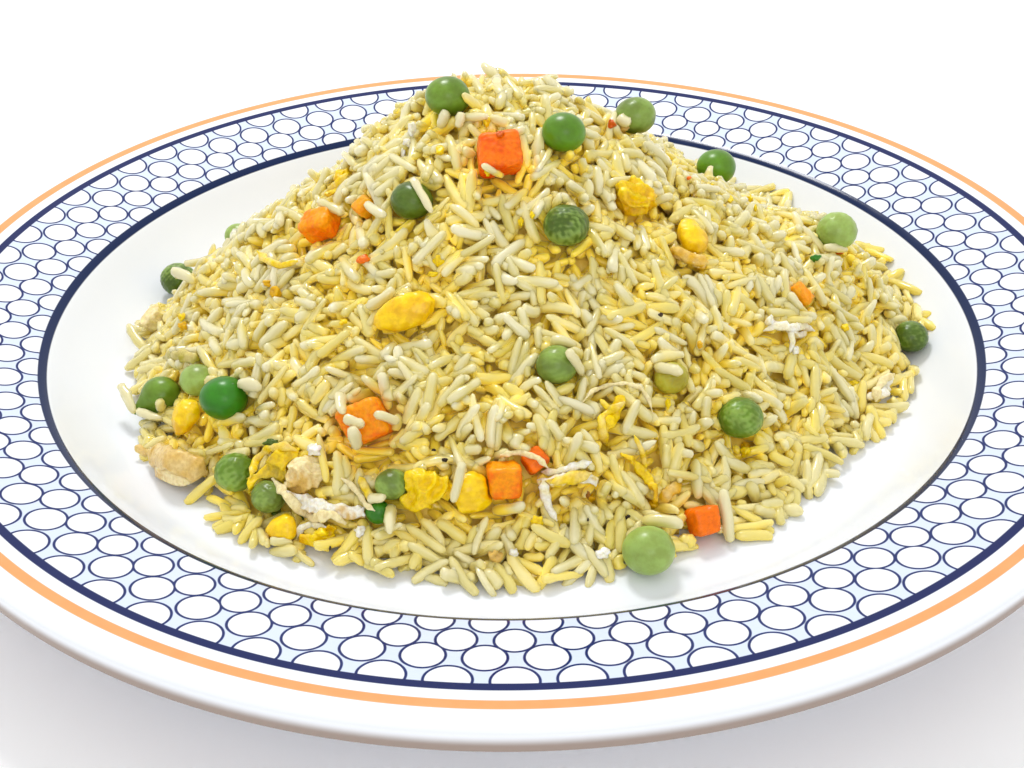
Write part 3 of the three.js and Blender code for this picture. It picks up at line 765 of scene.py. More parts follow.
def rice_piece(name, grains, surface, tops, material, bend):
    """Grains as one piece, with how pale they are and how golden they are painted stored at each vertex:
    the gold is painted light in the gaps and on the sides, and real soaking in patches.
    """
    count = len(grains)
    middles, aheads, lengths, widths = (np.array(column) for column in zip(*grains))
    rolls = rng.uniform(0, 2 * math.pi, count)
    side = np.cross([0, 0, 1], aheads)
    side /= np.linalg.norm(side, axis=1, keepdims=True)
    up = np.cross(aheads, side)
    cos, sin = np.cos(rolls)[:, None], np.sin(rolls)[:, None]
    across, out = side * cos + up * sin, up * cos - side * sin
    shapes = np.stack([grain_shape(rng.uniform(0.3, 1) * bend) for _ in range(GRAIN_SHAPES)])
    shape = shapes[rng.integers(0, len(shapes), count)]
    vertices = (
        middles[:, None]
        + shape[..., 0:1] * (aheads * (lengths / 2)[:, None])[:, None]
        + shape[..., 1:2] * (across * widths[:, None])[:, None]
        + shape[..., 2:3] * (out * widths[:, None])[:, None]
    )
    per_grain = shape.shape[1]
    faces = (grain_faces()[None] + np.arange(count)[:, None, None] * per_grain).reshape(-1, 3)
    piece = make_piece(name, vertices.reshape(-1, 3), faces, material, ["rice"])
    size, share = PALE_PATCHES
    patches = 0.5 + 0.5 * waves(middles, size, 8, PALE_SEED)
    add_values(piece, "tint", np.repeat((1 - share) * rng.random(count) + share * patches, per_grain))
    square = heap_normals(surface, middles)
    # Painted light: grains deep under their neighbours, and the sides of grains, are painted golden as
    # light through the grains would make the gaps glow; the rich patches are real soaking.
    depth = (tops[cell_of(vertices[..., 0], vertices[..., 1])] - vertices[..., 2]) * square[:, 2:] / GAP_PAINT_DEPTH
    thickness = (surface - plate_heights)[cell_of(middles[:, 0], middles[:, 1])]
    depth = depth * np.clip(thickness / THICK, FOOT_PAINTED_LIGHT, 1)[:, None]
    outward = shape[..., 1:2] * across[:, None] + shape[..., 2:3] * out[:, None]
    outward /= np.maximum(np.linalg.norm(outward, axis=2, keepdims=True), 0.3)
    facing = (outward * square[:, None]).sum(axis=2)
    size, amount = RICH_PATCHES
    richer = amount * waves(middles, size, 8, RICH_SEED)[:, None]
    add_values(piece, "soak_and_painted_light", np.clip(depth + SIDE_PAINTED_LIGHT * (1 - facing) + richer, -1, 1).ravel())
    columns = math.ceil(math.sqrt(count))
    tile = np.stack([np.arange(count) % columns, np.arange(count) // columns], axis=1)
    uv = (tile[:, None, None] + 0.06 + 0.88 * grain_coordinates()[None]) / columns
    add_map(piece, uv)
    return piece


def rice_material(name, dark, light, roughness):
    sheen = {"Sheen_Weight": 0.45, "Sheen_Roughness": 0.5, "Sheen_Tint": srgb(252, 242, 190)}
    shader = Shader(name, IOR=1.42, Specular_IOR_Level=0.25, Coat_Weight=1.0, Coat_Roughness=0.07, **sheen)
    tint = shader.attribute("tint")
    streaks = shader.noise(1.6 * MM, detail=4)
    cloudy = shader.math("ADD", shader.math("MULTIPLY", tint, 0.7), shader.math("MULTIPLY", streaks, 0.45))
    colour = shader.ramp(cloudy, [(0.15, dark), (0.85, light)])
    soak_and_painted_light = shader.math("ADD", shader.attribute("soak_and_painted_light"), shader.math("MULTIPLY", streaks, 0.2))
    # Painted highlight: the outer faces and tops of the grains are painted whiter.
    colour = shader.mix(shader.steps(soak_and_painted_light, -0.5, 0.1, 0.5, 0.0), colour, srgb(226, 220, 190))
    # Painted light: the deep and sideways parts are painted golden, as the glow of light through the grains
    # in the gaps.
    shader.set("Base Color", shader.mix(shader.steps(soak_and_painted_light, -0.3, 1.2), colour, srgb(253, 224, 64)))
    soft_flesh(shader, 0.9, (1.0, 0.95, 0.8), 1.5 * MM)
    shader.surface.subsurface_method = "BURLEY"
    shader.uneven_roughness(2.5 * MM, roughness - 0.06, roughness + 0.1)
    shader.bump(shader.noise(1.1 * MM, detail=2), 0.1 * MM, 0.45)
    return shader.material


def core_material():
    shader = Shader("rice_core", IOR=1.4)
    # Painted light: the core is painted bright gold, as the glow of light through the grains looks in the
    # gaps.
    stops = [(0.3, srgb(244, 206, 64)), (0.7, srgb(250, 222, 104))]
    shader.set("Base Color", shader.ramp(shader.noise(3 * MM, detail=5), stops))
    shader.uneven_roughness(2 * MM, 0.35, 0.6)
    shader.bump(shader.noise(2.2 * MM, detail=4), 0.6 * MM)
    return shader.material


def core_piece(surface, is_rice):
    """What lies under the grains: a closed lump with relief as fine as broken grains."""
    step, (size, deep), (low, thin) = CORE_STEP, CORE_RELIEF, CORE_HEIGHTS
    inner = is_rice.copy()
    for _ in range(CORE_MARGIN):
        inner[1:-1, 1:-1] &= inner[:-2, 1:-1] & inner[2:, 1:-1] & inner[1:-1, :-2] & inner[1:-1, 2:]
    xs, ys = map_x[::step, ::step], map_y[::step, ::step]
    keep = inner[::step, ::step]
    places = np.stack([xs.ravel(), ys.ravel(), surface[::step, ::step].ravel()], axis=1)
    relief = waves(places, size, 10, CORE_SEED).reshape(xs.shape)
    floor = plate_heights[::step, ::step]
    z = np.maximum(core_heights(surface)[::step, ::step] + relief * deep, floor + thin)
    number = np.full(keep.shape, -1)
    cell = keep[:-1, :-1] & keep[1:, :-1] & keep[:-1, 1:] & keep[1:, 1:]
    used = np.zeros(keep.shape, dtype=bool)
    for di, dk in ((0, 0), (1, 0), (0, 1), (1, 1)):
        used[di : di + cell.shape[0], dk : dk + cell.shape[1]] |= cell
    number[used] = np.arange(used.sum())
    top = np.stack([xs[used], ys[used], z[used]], axis=1)
    base = np.stack([xs[used], ys[used], floor[used] + low], axis=1)
    a, b = number[:-1, :-1][cell], number[1:, :-1][cell]
    c, d = number[1:, 1:][cell], number[:-1, 1:][cell]
    upper = np.vstack([np.stack([a, b, c], axis=1), np.stack([a, c, d], axis=1)])
    edges = np.vstack([upper[:, [0, 1]], upper[:, [1, 2]], upper[:, [2, 0]]])
    count = len(top)
    keys = edges[:, 0].astype(np.int64) * count + edges[:, 1]
    border = edges[~np.isin(edges[:, 1].astype(np.int64) * count + edges[:, 0], keys)]
    p, q = border.T
    skirt = np.vstack([np.stack([q, p, p + count], axis=1), np.stack([q, p + count, q + count], axis=1)])
    faces = np.vstack([upper, upper[:, ::-1] + count, skirt])
    return make_piece("rice_core", np.vstack([top, base]), faces, core_material(), ["rice"])


def rice_materials():
    return [
        rice_material("rice_ivory", srgb(202, 190, 110), srgb(212, 203, 148), 0.18),
        rice_material("rice_yellow", srgb(200, 187, 98), srgb(209, 198, 132), 0.16),
        rice_material("rice_pale", srgb(207, 197, 132), srgb(221, 215, 174), 0.2),
    ]


def build_rice(toppings, materials):
    """Builds the core and the grains. Gives the grains' pieces, the heap's surface and the height that the
    grains reach."""
    surface, is_rice, topping_tops = heap_heights(toppings)
    places = np.stack([map_x.ravel(), map_y.ravel(), np.zeros(map_x.size)], axis=1)
    for number, (size, depth) in enumerate(RELIEF):
        clumps = waves(places, size, 12, CLUMP_SEED + number).reshape(map_x.shape)
        surface = surface + depth * clumps * np.clip((surface - plate_heights) / THICK, 0, 1)
    thickness = surface - plate_heights
    surface = surface - SETTLED * np.clip(thickness / THICK, 0, 1)
    surface = np.where(is_rice, np.maximum(surface, plate_heights + GRAIN_WIDTH[1]), surface)
    core_piece(surface, is_rice)
    heap = Heap(surface, is_rice, toppings, topping_tops)
    heap.bed(BED_TRIES)
    heap.fill(*FILL)
    heap.stand(*STAND)
    heap.fill(*REFILL)
    heap.patch(*PATCH)
    whole = [grain for grain in heap.grains if grain[2] > SHORT]
    broken = [grain for grain in heap.grains if grain[2] <= SHORT]
    tops = blur(heap.top, AROUND) + STICKY * sum(GRAIN_WIDTH) / 4
    pieces = [rice_piece("rice_broken", broken, surface, tops, materials[0], BROKEN_BEND)]
    for first, ((name, bend), material) in enumerate(zip(WHOLE_KINDS, materials)):
        pieces.append(rice_piece(name, whole[first :: len(WHOLE_KINDS)], surface, tops, material, bend))
    return pieces, surface, tops


# ---- Toppings ----
KINDS = ("pea", "carrot", "corn", "egg_lump", "egg_shred")
topping_names = sorted(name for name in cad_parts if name.startswith(KINDS))

COLOURS = {
    "leaf": (100, 136, 28),
    "bright": (92, 142, 20),
    "deep": (48, 124, 6),
    "dark": (78, 106, 16),
    "pale": (156, 184, 92),
    "sage": (116, 142, 56),
    "olive": (182, 170, 36),
    "red_orange": (242, 86, 0),
    "orange": (252, 120, 0),
    "light_orange": (255, 160, 0),
    "amber": (238, 172, 26),
    "burnt_orange": (214, 96, 4),
    "corn": (255, 214, 0),
    "corn_dark": (242, 188, 0),
    "yolk": (248, 212, 6),
    "gold": (232, 182, 6),
    "dull_gold": (206, 180, 56),
    "tan": (222, 184, 96),
    "cream": (246, 230, 178),
    "white": (250, 248, 236),
    "straw": (250, 236, 150),
    "brown": (150, 96, 24),
    "pepper": (44, 32, 20),
}


def colour_of(name):
    return np.array(srgb(*COLOURS[name]))[:3]


def nodes_of(kind):
    return [name for name in topping_names if name.startswith(kind)]


def food_material(name, grain, relief, roughness, soft, radius, gloss):
    """Moist food whose colour is stored on its mesh, with grain and relief of the sizes given."""
    shader = Shader(name, IOR=1.4, Specular_IOR_Level=0.25, Coat_Weight=gloss, Coat_Roughness=0.28)
    fine = shader.noise(grain, detail=5, roughness=0.6)
    skin = shader.attribute("skin", output="Color")
    shade = shader.mix(1.0, skin, srgb(236, 230, 216), blend="MULTIPLY")
    shader.set("Base Color", shader.mix(shader.steps(fine, 0.35, 0.65), shade, skin))
    soft_flesh(shader, soft, radius, 1.5 * MM)
    shader.uneven_roughness(2 * grain, roughness - 0.07, roughness + 0.1)
    shader.bump(fine, relief, 0.7)
    return shader.material


def mixed(first, second, share):
    """Colours between two named ones, by a share from 0 to 1 at each vertex."""
    share = np.clip(share, 0, 1)[:, None]
    return colour_of(first) * (1 - share) + colour_of(second) * share


class Assembly:
    """Gathers meshes with their colours into one piece."""

    def __init__(self):
        self.points, self.triangles, self.skins, self.count = [], [], [], 0

    def add(self, points, triangles, skin):
        self.points.append(points)
        self.triangles.append(triangles + self.count)
        self.skins.append(np.broadcast_to(skin, (len(points), 3)))
        self.count += len(points)

    def piece(self, name, material, slot, nodes):
        piece = make_piece(name, np.vstack(self.points), np.vstack(self.triangles), material, nodes)
        add_colours(piece, "skin", np.vstack(self.skins))
        return piece


def refined(name, voxel, rounds):
    """A CAD node's surface as a fine mesh with its edges rounded, still in place."""
    copy = bpy.data.objects.new("refine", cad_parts[name].data.copy())
    bpy.context.scene.collection.objects.link(copy)
    remesh = copy.modifiers.new("remesh", "REMESH")
    remesh.mode = "VOXEL"
    remesh.voxel_size = voxel
    smooth = copy.modifiers.new("smooth", "SMOOTH")
    smooth.iterations = rounds
    smooth.factor = 0.5
    evaluated = copy.evaluated_get(bpy.context.evaluated_depsgraph_get())
    mesh = evaluated.to_mesh()
    vertices, triangles = mesh_arrays(mesh)
    normals = np.empty(len(mesh.vertices) * 3, dtype=np.float32)
    mesh.vertices.foreach_get("normal", normals)
    evaluated.to_mesh_clear()
    bpy.data.objects.remove(copy)
    return vertices, triangles, normals.reshape(-1, 3).astype(float)


def sphere(divisions):
    mesh = bmesh.new()
    bmesh.ops.create_icosphere(mesh, subdivisions=divisions, radius=1.0)
    points = np.array([vertex.co for vertex in mesh.verts])
    faces = np.array([[vertex.index for vertex in face.verts] for face in mesh.faces])
    mesh.free()
    return points, faces


# ---- Peas ----
# For each pea its colour, how wrinkled it is from 0 to 1 and how much pale mottling it has.
PEA_LOOKS = [
    ("leaf", 0.15, 0.15), ("bright", 0.0, 0.0), ("sage", 0.3, 0.3), ("bright", 0.05, 0.05),
    ("dark", 0.3, 0.1), ("dark", 0.7, 0.8), ("pale", 0.5, 0.3), ("dark", 0.5, 0.4),
    ("dark", 0.6, 0.8), ("leaf", 0.2, 0.1), ("pale", 0.1, 0.0), ("deep", 0.0, 0.0),
    ("leaf", 0.8, 0.7), ("sage", 0.9, 0.7), ("sage", 0.6, 0.6), ("deep", 0.3, 0.1),
    ("sage", 0.4, 0.4), ("leaf", 0.7, 0.7), ("pale", 0.1, 0.1), ("olive", 0.8, 0.3),
    ("pale", 0.2, 0.1), ("bright", 0.3, 0.2), ("deep", 0.1, 0.0), ("sage", 0.6, 0.5),
]
PEA_FORM = (1.04, 1.0, 0.93)  # its half widths and half height against its radius
PEA_TAIL = ("pea_10", (-0.8, -0.45, -0.4))  # the pea whose skin is drawn out to a point, and which way


def build_peas():
    unit, faces = sphere(divisions=5)
    peas = Assembly()
    for number, name in enumerate(nodes_of("pea")):
        tone, wrinkled, pale = PEA_LOOKS[number]
        low, high = (np.array(corner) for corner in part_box(name))
        radius = (high - low).max() / 2
        creases = waves(unit, 0.8, 10, PEA_SEEDS[0] + number, ridged=True)
        fine = waves(unit, 0.3, 10, PEA_SEEDS[1] + number)
        broad = waves(unit, 2.2, 5, PEA_SEEDS[2] + number)
        swell = 1 + 0.02 * broad + wrinkled * (0.012 * creases + 0.02 * fine)
        points = unit * swell[:, None] * np.array(PEA_FORM)
        if name == PEA_TAIL[0]:
            way = np.array(PEA_TAIL[1]) / np.linalg.norm(PEA_TAIL[1])
            points += way * (0.7 * np.clip(unit @ way, 0, 1) ** 10)[:, None]
        mottling = pale * np.clip(0.3 + 0.8 * fine + 0.9 * broad, 0, 1)
        skin = mixed(tone, "pale", mottling * 0.7) * (1 + 0.16 * broad)[:, None]
        peas.add((low + high) / 2 + points * radius, faces, np.clip(skin, 0, 1))
    skin = food_material(
        "pea_skin", grain=2.4 * MM, relief=0.1 * MM, roughness=0.36,
        soft=0.25, radius=(0.6, 1.0, 0.3), gloss=0.45,
    )
    return peas.piece("pea_pieces", skin, "pea", nodes_of("pea"))


# ---- Carrot, sweetcorn and egg ----
# The two colours of each node's piece, the second one where it faces up: painted light on its top.
CARROT_LOOKS = [
    ("red_orange", "orange"), ("orange", "light_orange"), ("light_orange", "amber"),
    ("orange", "light_orange"), ("orange", "light_orange"), ("orange", "orange"), ("amber", "light_orange"),
    ("burnt_orange", "orange"), ("orange", "light_orange"), ("red_orange", "orange"),
]
CORN_LOOKS = [
    ("corn_dark", "corn"), ("corn_dark", "corn"), ("corn", "corn"), ("corn_dark", "corn"), ("gold", "corn"),
    ("corn_dark", "corn"),
]
LUMP_LOOKS = [
    ("yolk", "yolk"), ("tan", "cream"), ("gold", "yolk"), ("tan", "cream"), ("straw", "cream"),
    ("gold", "yolk"),
]
SHRED_LOOKS = [
    ("dull_gold", "yolk"), ("tan", "white"), ("gold", "yolk"), ("yolk", "white"), ("yolk", "yolk"),
    ("gold", "yolk"), ("gold", "yolk"), ("gold", "cream"), ("cream", "white"), ("cream", "white"),
]
# The curds with only so much of the others' relief.
PLAIN_PIECES = {"egg_lump_04": 0.0, "egg_lump_05": 0.5, "egg_lump_02": 0.6}


def build_kind(kind, looks, slot, material, voxel, rounds, size, depth, shrink=0.0):
    """All nodes of one kind: their CAD forms in voxels, smoothed for so many rounds and then shrunk, with
    relief of this size and depth on them. The lengths are in millimetres."""
    voxel, size, depth, shrink = voxel * MM, size * MM, depth * MM, shrink * MM
    kinds = Assembly()
    for number, name in enumerate(nodes_of(kind)):
        points, faces, normals = refined(name, voxel, rounds)
        folds = waves(points, size, 10, FOOD_SEEDS[0] + number, ridged=True)
        fine = waves(points, size / 2.5, 10, FOOD_SEEDS[1] + number)
        relief = (folds + fine * 0.25) * depth * PLAIN_PIECES.get(name, 1.0) - shrink
        broad = waves(points, 1.5 * size, 6, FOOD_SEEDS[2] + number)
        # Painted light: the parts that face up take the second, mostly lighter colour; the waves add random
        # tone.
        share = 0.5 + 0.6 * normals[:, 2] + 0.5 * broad + 0.3 * fine
        kinds.add(points + normals * relief[:, None], faces, mixed(*looks[number], share))
    return kinds.piece(kind + "_pieces", material, slot, nodes_of(kind))


def build_toppings(egg):
    carrot = food_material(
        "carrot_flesh", grain=0.8 * MM, relief=0.12 * MM, roughness=0.36,
        soft=0.15, radius=(1.0, 0.5, 0.1), gloss=0.15,
    )
    corn = food_material(
        "sweetcorn_skin", grain=1.4 * MM, relief=0.1 * MM, roughness=0.24,
        soft=0.2, radius=(1.0, 0.8, 0.1), gloss=0.5,
    )
    return [
        build_peas(),
        build_kind("carrot", CARROT_LOOKS, "carrot", carrot, voxel=0.35, rounds=10, size=3, depth=0.1),
        build_kind("corn", CORN_LOOKS, "corn", corn, voxel=0.35, rounds=10, size=5, depth=0.12),
        build_kind("egg_lump", LUMP_LOOKS, "egg", egg, voxel=0.3, rounds=15, size=4.5, depth=0.7),
        build_kind(
            "egg_shred", SHRED_LOOKS, "egg", egg, voxel=0.3, rounds=6, size=4.2, depth=0.25, shrink=0.2
        ),
    ]


# ---- What the photograph shows on top of the heap, by the pixels where it is seen ----
# Egg threads and films: colour, width and thickness in millimetres, and where they run.
THREADS = [
    ("cream", 2.0, 0.8, [(272, 478), (284, 492), (298, 508), (314, 518), (332, 514), (346, 524)]),
    ("white", 1.2, 0.7, [(297, 538), (301, 528), (312, 524), (326, 527)]),
    ("cream", 1.0, 0.6, [(341, 478), (350, 484), (359, 494), (366, 505), (375, 511)]),
    ("yolk", 1.5, 0.8, [(250, 478), (256, 460), (268, 449), (284, 446), (298, 451)]),
    ("white", 1.4, 0.7, [(541, 472), (556, 472), (572, 467), (592, 462)]),
    ("white", 1.7, 0.8, [(543, 480), (545, 494), (549, 508), (557, 521)]),
    ("yolk", 2.2, 1.1, [(550, 483), (566, 479), (582, 476), (592, 473)]),
    ("cream", 0.8, 0.5, [
        (582, 403), (592, 391), (608, 385), (626, 383), (641, 388), (649, 400), (653, 414),
    ]),
    ("yolk", 1.7, 0.9, [(625, 402), (613, 409), (601, 418), (603, 432), (607, 447)]),
    ("yolk", 1.4, 0.8, [(600, 399), (607, 407), (614, 412)]),
    ("yolk", 1.2, 0.7, [(634, 435), (642, 451), (646, 471)]),
    ("gold", 2.0, 1.0, [(682, 484), (670, 491), (659, 503)]),
    ("white", 1.6, 0.8, [(763, 331), (775, 326), (790, 328), (804, 326), (815, 331)]),
    ("white", 1.2, 0.7, [(790, 330), (793, 342), (790, 353)]),
    ("cream", 1.8, 0.8, [(895, 374), (884, 379), (877, 390), (876, 402)]),
    ("yolk", 1.7, 0.9, [(257, 251), (266, 260), (281, 266), (298, 261)]),
    ("yolk", 1.5, 0.9, [(349, 172), (340, 182), (327, 191)]),
    ("gold", 2.0, 1.0, [(672, 247), (689, 258), (709, 263)]),
    ("yolk", 1.5, 0.8, [(359, 476), (366, 489), (373, 502)]),
    ("cream", 1.2, 0.7, [(500, 455), (520, 452), (538, 458), (548, 468)]),
    ("tan", 4.4, 2.4, [(146, 451), (163, 457), (186, 465), (207, 474)]),
    ("cream", 1.4, 0.8, [(150, 448), (166, 451), (186, 458), (204, 466)]),
    ("tan", 1.6, 0.8, [(135, 446), (141, 450), (148, 456)]),
    ("olive", 2.4, 1.0, [(163, 358), (180, 355), (200, 360)]),
]
# Small bits: colour, size in millimetres and where they lie.
BITS = [
    ("white", 2.4, 412, 130), ("white", 2.0, 407, 143), ("white", 1.6, 403, 154), ("yolk", 1.9, 440, 150),
    ("yolk", 1.8, 487, 122), ("yolk", 1.6, 488, 172), ("yolk", 2.6, 438, 262), ("yolk", 1.6, 433, 274),
    ("yolk", 1.8, 343, 322), ("yolk", 1.9, 331, 537), ("yolk", 1.8, 322, 532), ("yolk", 1.8, 537, 522),
    ("gold", 1.9, 655, 503), ("yolk", 1.5, 845, 328), ("yolk", 1.8, 853, 383), ("gold", 1.5, 868, 392),
    ("yolk", 1.9, 730, 199), ("yolk", 1.7, 750, 199), ("yolk", 1.5, 755, 209), ("yolk", 2.2, 712, 186),
    ("white", 2.2, 315, 450), ("white", 2.0, 360, 531), ("white", 2.0, 603, 553), ("white", 2.2, 514, 553),
    ("tan", 2.0, 495, 555), ("straw", 2.4, 405, 566), ("yolk", 2.0, 182, 317), ("gold", 1.8, 183, 326),
    ("gold", 1.8, 745, 447), ("yolk", 1.6, 668, 404), ("orange", 1.3, 689, 178),
    ("burnt_orange", 1.8, 612, 124), ("burnt_orange", 1.5, 840, 252), ("orange", 2.0, 363, 259),
    ("burnt_orange", 1.4, 500, 134), ("brown", 1.2, 197, 467), ("brown", 1.3, 588, 495),
    ("gold", 2.0, 276, 293), ("gold", 1.7, 268, 283), ("dark", 2.2, 272, 443), ("deep", 1.6, 816, 258),
    ("dark", 2.2, 276, 512), ("dark", 2.0, 290, 510), ("dark", 1.6, 302, 515), ("gold", 1.8, 590, 500),
    ("yolk", 1.6, 745, 452), ("tan", 1.8, 624, 126), ("gold", 1.6, 700, 345), ("white", 1.6, 795, 350),
    ("yolk", 1.8, 521, 222), ("yolk", 1.5, 532, 215), ("pepper", 0.8, 330, 548), ("pepper", 0.7, 434, 450),
    ("pepper", 0.9, 445, 460), ("pepper", 0.7, 588, 520), ("pepper", 0.8, 628, 517),
    ("pepper", 0.7, 660, 315), ("pepper", 0.9, 655, 506), ("pepper", 0.7, 665, 500),
]
# Whole grains that lie over a topping, by their two ends.
LAID_GRAINS = [
    (446, 110, 440, 128), (462, 112, 458, 128), (412, 177, 432, 213), (618, 118, 630, 124),
    (160, 402, 161, 409), (137, 411, 162, 419), (120, 384, 135, 413), (238, 383, 262, 387),
    (217, 424, 246, 416), (550, 339, 577, 345), (568, 350, 583, 374), (391, 505, 389, 534),
    (368, 499, 386, 497), (641, 519, 684, 524), (343, 418, 365, 425), (352, 428, 358, 449),
    (375, 413, 399, 422), (340, 393, 342, 413), (482, 165, 502, 176), (318, 201, 343, 213),
    (366, 204, 385, 216), (493, 511, 525, 506), (723, 488, 731, 543), (788, 293, 802, 309),
    (463, 461, 453, 503), (367, 309, 395, 289), (270, 541, 293, 543), (655, 366, 682, 372),
    (722, 402, 740, 394), (172, 270, 196, 282), (696, 187, 720, 190), (824, 247, 848, 250),
]


def line_of_sight(camera, x, y):
    """The direction in which the camera sees a pixel."""
    focal = camera.data.lens / camera.data.sensor_width * PICTURE[0]
    seen = camera.matrix_world.to_3x3() @ Vector((x - PICTURE[0] / 2, PICTURE[1] / 2 - y, -focal))
    return seen.normalized()


def seen_path(camera, tree, pixels, spacing=1.5):
    """Where the camera stands, the directions in which it sees a line of pixels and how far it sees."""
    pixels = np.array(pixels, dtype=float)
    reach = np.concatenate([[0], np.cumsum(np.linalg.norm(np.diff(pixels, axis=0), axis=1))])
    steps = np.linspace(0, reach[-1], max(int(reach[-1] / spacing), 4))
    xs, ys = np.interp(steps, reach, pixels[:, 0]), np.interp(steps, reach, pixels[:, 1])
    eye = camera.matrix_world.translation
    sights = [line_of_sight(camera, x, y) for x, y in zip(xs, ys)]
    depths = [tree.ray_cast(eye, sight)[3] or 0 for sight in sights]
    return np.array(eye), np.array(sights), np.array(depths)


def settled(depths, reach):
    """Depths of something limp that lies over the nearest points within so many steps."""
    padded = np.pad(depths, reach, mode="edge")
    nearest = np.array([padded[k : k + 2 * reach + 1].min() for k in range(len(depths))])
    padded = np.pad(nearest, reach, mode="edge")
    return np.array([padded[k : k + 2 * reach + 1].mean() for k in range(len(depths))])


def strand(path, out, width, thickness, seed):
    """A limp, uneven strip along a path; out is the direction away from what it lies on."""
    sides = 10
    ahead = np.gradient(path, axis=0)
    ahead /= np.linalg.norm(ahead, axis=1, keepdims=True)
    aside = np.cross(ahead, out)
    aside /= np.linalg.norm(aside, axis=1, keepdims=True)
    up = np.cross(aside, ahead)
    along = np.linspace(0, 1, len(path))
    tip = np.clip(np.minimum(along, 1 - along) * 7, 0.25, 1)[:, None, None]
    turn = np.linspace(0, 2 * math.pi, sides, endpoint=False)[None, :, None]
    uneven = 1 + 0.25 * waves(path, 1.2 * MM + width, 8, seed)[:, None, None]
    points = path[:, None] + tip * (
        np.cos(turn) * aside[:, None] * width / 2 * uneven + np.sin(turn) * up[:, None] * thickness / 2
    )
    flat = points.reshape(-1, 3)
    ruffle = waves(flat, 1.3 * MM, 10, seed + 1, ridged=True) * 0.06 * thickness
    flat = flat + np.repeat(out, sides, axis=0) * ruffle[:, None]
    last = (len(path) - 1) * sides
    caps = []
    for side in range(1, sides - 1):
        caps += [(0, side + 1, side), (last, last + side, last + side + 1)]
    return flat, np.vstack([tube_faces(len(path), sides), caps])


def build_threads(camera, tree, material):
    threads = Assembly()
    for number, (tone, width, thickness, pixels) in enumerate(THREADS):
        eye, sights, depths = seen_path(camera, tree, pixels)
        depths = settled(depths, 4) - 0.3 * thickness * MM
        path = eye + sights * depths[:, None]
        points, faces = strand(path, -sights, width * MM, thickness * MM, THREAD_SEEDS[0] + number)
        paler = 0.4 + 0.5 * waves(points, 2.5 * MM, 6, THREAD_SEEDS[1] + number)
        threads.add(points, faces, mixed(tone, "cream" if tone != "white" else "straw", 0.5 * paler))
    threads.piece("egg_threads", material, "egg", ["rice"])


def build_bits(camera, tree, material):
    unit, faces = sphere(divisions=3)
    bits = Assembly()
    for number, (tone, size, x, y) in enumerate(BITS):
        sight = line_of_sight(camera, x, y)
        hit = tree.ray_cast(camera.matrix_world.translation, sight)[0]
        spread = rng.uniform(0.5, 1.4, 3)
        points = unit * (1 + 0.32 * waves(unit, 1.3, 8, BIT_SEEDS[0] + number))[:, None] * spread
        middle = np.array(hit) - np.array(sight) * 0.2 * size * MM
        shade = 1 + 0.15 * waves(unit, 0.9, 6, BIT_SEEDS[1] + number)[:, None]
        bits.add(middle + points * size * MM / 2, faces, np.clip(colour_of(tone) * shade, 0, 1))
    bits.piece("small_bits", material, "egg", ["rice"])


def laid_grain(camera, tree, ends):
    """A grain seen from one pixel to another that lies on what is seen there."""
    width = rng.uniform(*GRAIN_WIDTH) / 2
    eye, sights, depths = seen_path(camera, tree, [ends[:2], ends[2:]])
    along = np.linspace(0, 1, len(depths))
    slope = np.polyfit(along, depths, 1)[0]
    slope = np.clip(slope, -LAID_SLOPE, LAID_SLOPE)
    start = depths.mean() - slope / 2
    lift = (depths - start - slope * along).min() - LAID_SINK * width
    first = eye + sights[0] * (start + lift)
    second = eye + sights[-1] * (start + slope + lift)
    length = max(np.linalg.norm(second - first), 2.4 * width)
    ahead = (second - first) / np.linalg.norm(second - first)
    return (first + second) / 2, ahead, length, width


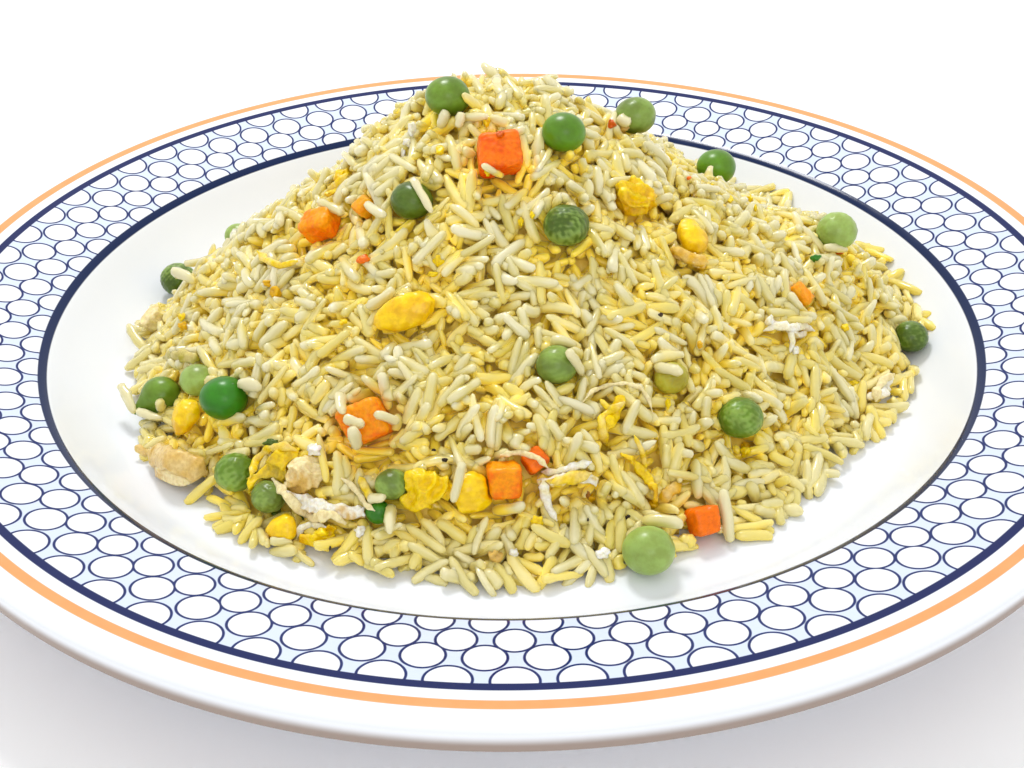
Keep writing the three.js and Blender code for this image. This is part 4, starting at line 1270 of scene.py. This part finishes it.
# ---- Stage ----
def build_stage():
    shader = Shader("pale_floor")
    shader.set("Base Color", shader.mix(shader.noise(0.5), srgb(252, 252, 253), srgb(255, 255, 255)))
    shader.uneven_roughness(0.2, 0.6, 0.8)
    shader.bump(shader.noise(2 * MM), 0.02 * MM, 0.2)
    bpy.ops.mesh.primitive_plane_add(size=FLOOR_SIZE)
    floor = bpy.context.object
    floor.name = "floor"
    floor.data.materials.append(shader.material)


def area_light(name, place, size, power):
    light = bpy.data.lights.new(name, "AREA")
    light.shape = "DISK"
    light.size = size
    light.energy = power
    lamp = bpy.data.objects.new(name, light)
    lamp.location = place
    lamp.rotation_euler = (Vector(LAMPS_AIM) - Vector(place)).to_track_quat("-Z", "Y").to_euler()
    bpy.context.scene.collection.objects.link(lamp)


def build_light():
    world = bpy.data.worlds.new("studio")
    world.use_nodes = True
    background = world.node_tree.nodes["Background"]
    background.inputs["Color"].default_value = (1.0, 1.0, 1.0, 1.0)
    background.inputs["Strength"].default_value = WORLD_LIGHT
    bpy.context.scene.world = world
    for name, lamp in LAMPS.items():
        area_light(name, *lamp)
    bpy.context.scene.view_settings.view_transform = "Standard"


def build_camera():
    camera = bpy.data.objects.new("camera", bpy.data.cameras.new("camera"))
    camera.data.lens = CAMERA_LENS
    camera.data.sensor_width = CAMERA_SENSOR
    direction = Vector(CAMERA_TARGET) - Vector(CAMERA_PLACE)
    turn = direction.to_track_quat("-Z", "Y").to_matrix().to_4x4()
    camera.matrix_world = Matrix.Translation(CAMERA_PLACE) @ turn @ Matrix.Rotation(CAMERA_ROLL, 4, "Z")
    bpy.context.scene.collection.objects.link(camera)
    bpy.context.scene.camera = camera
    return camera


camera = build_camera()
build_light()
build_stage()
plate = build_plate()
grain_looks = rice_materials()
topping_nodes = search_tree([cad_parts[name] for name in topping_names])
grains, heap_surface, heap_tops = build_rice(topping_nodes, grain_looks)
egg_look = food_material(
    "egg_curd", grain=0.8 * MM, relief=0.2 * MM, roughness=0.3,
    soft=0.3, radius=(1.0, 0.8, 0.3), gloss=0.4,
)
toppings = build_toppings(egg_look)
seen = search_tree([plate, *grains, *toppings])
build_threads(camera, seen, egg_look)
build_bits(camera, seen, egg_look)
laid = [laid_grain(camera, seen, ends) for ends in LAID_GRAINS]
rice_piece("rice_laid", laid, heap_surface, heap_tops, grain_looks[0], LAID_BEND)
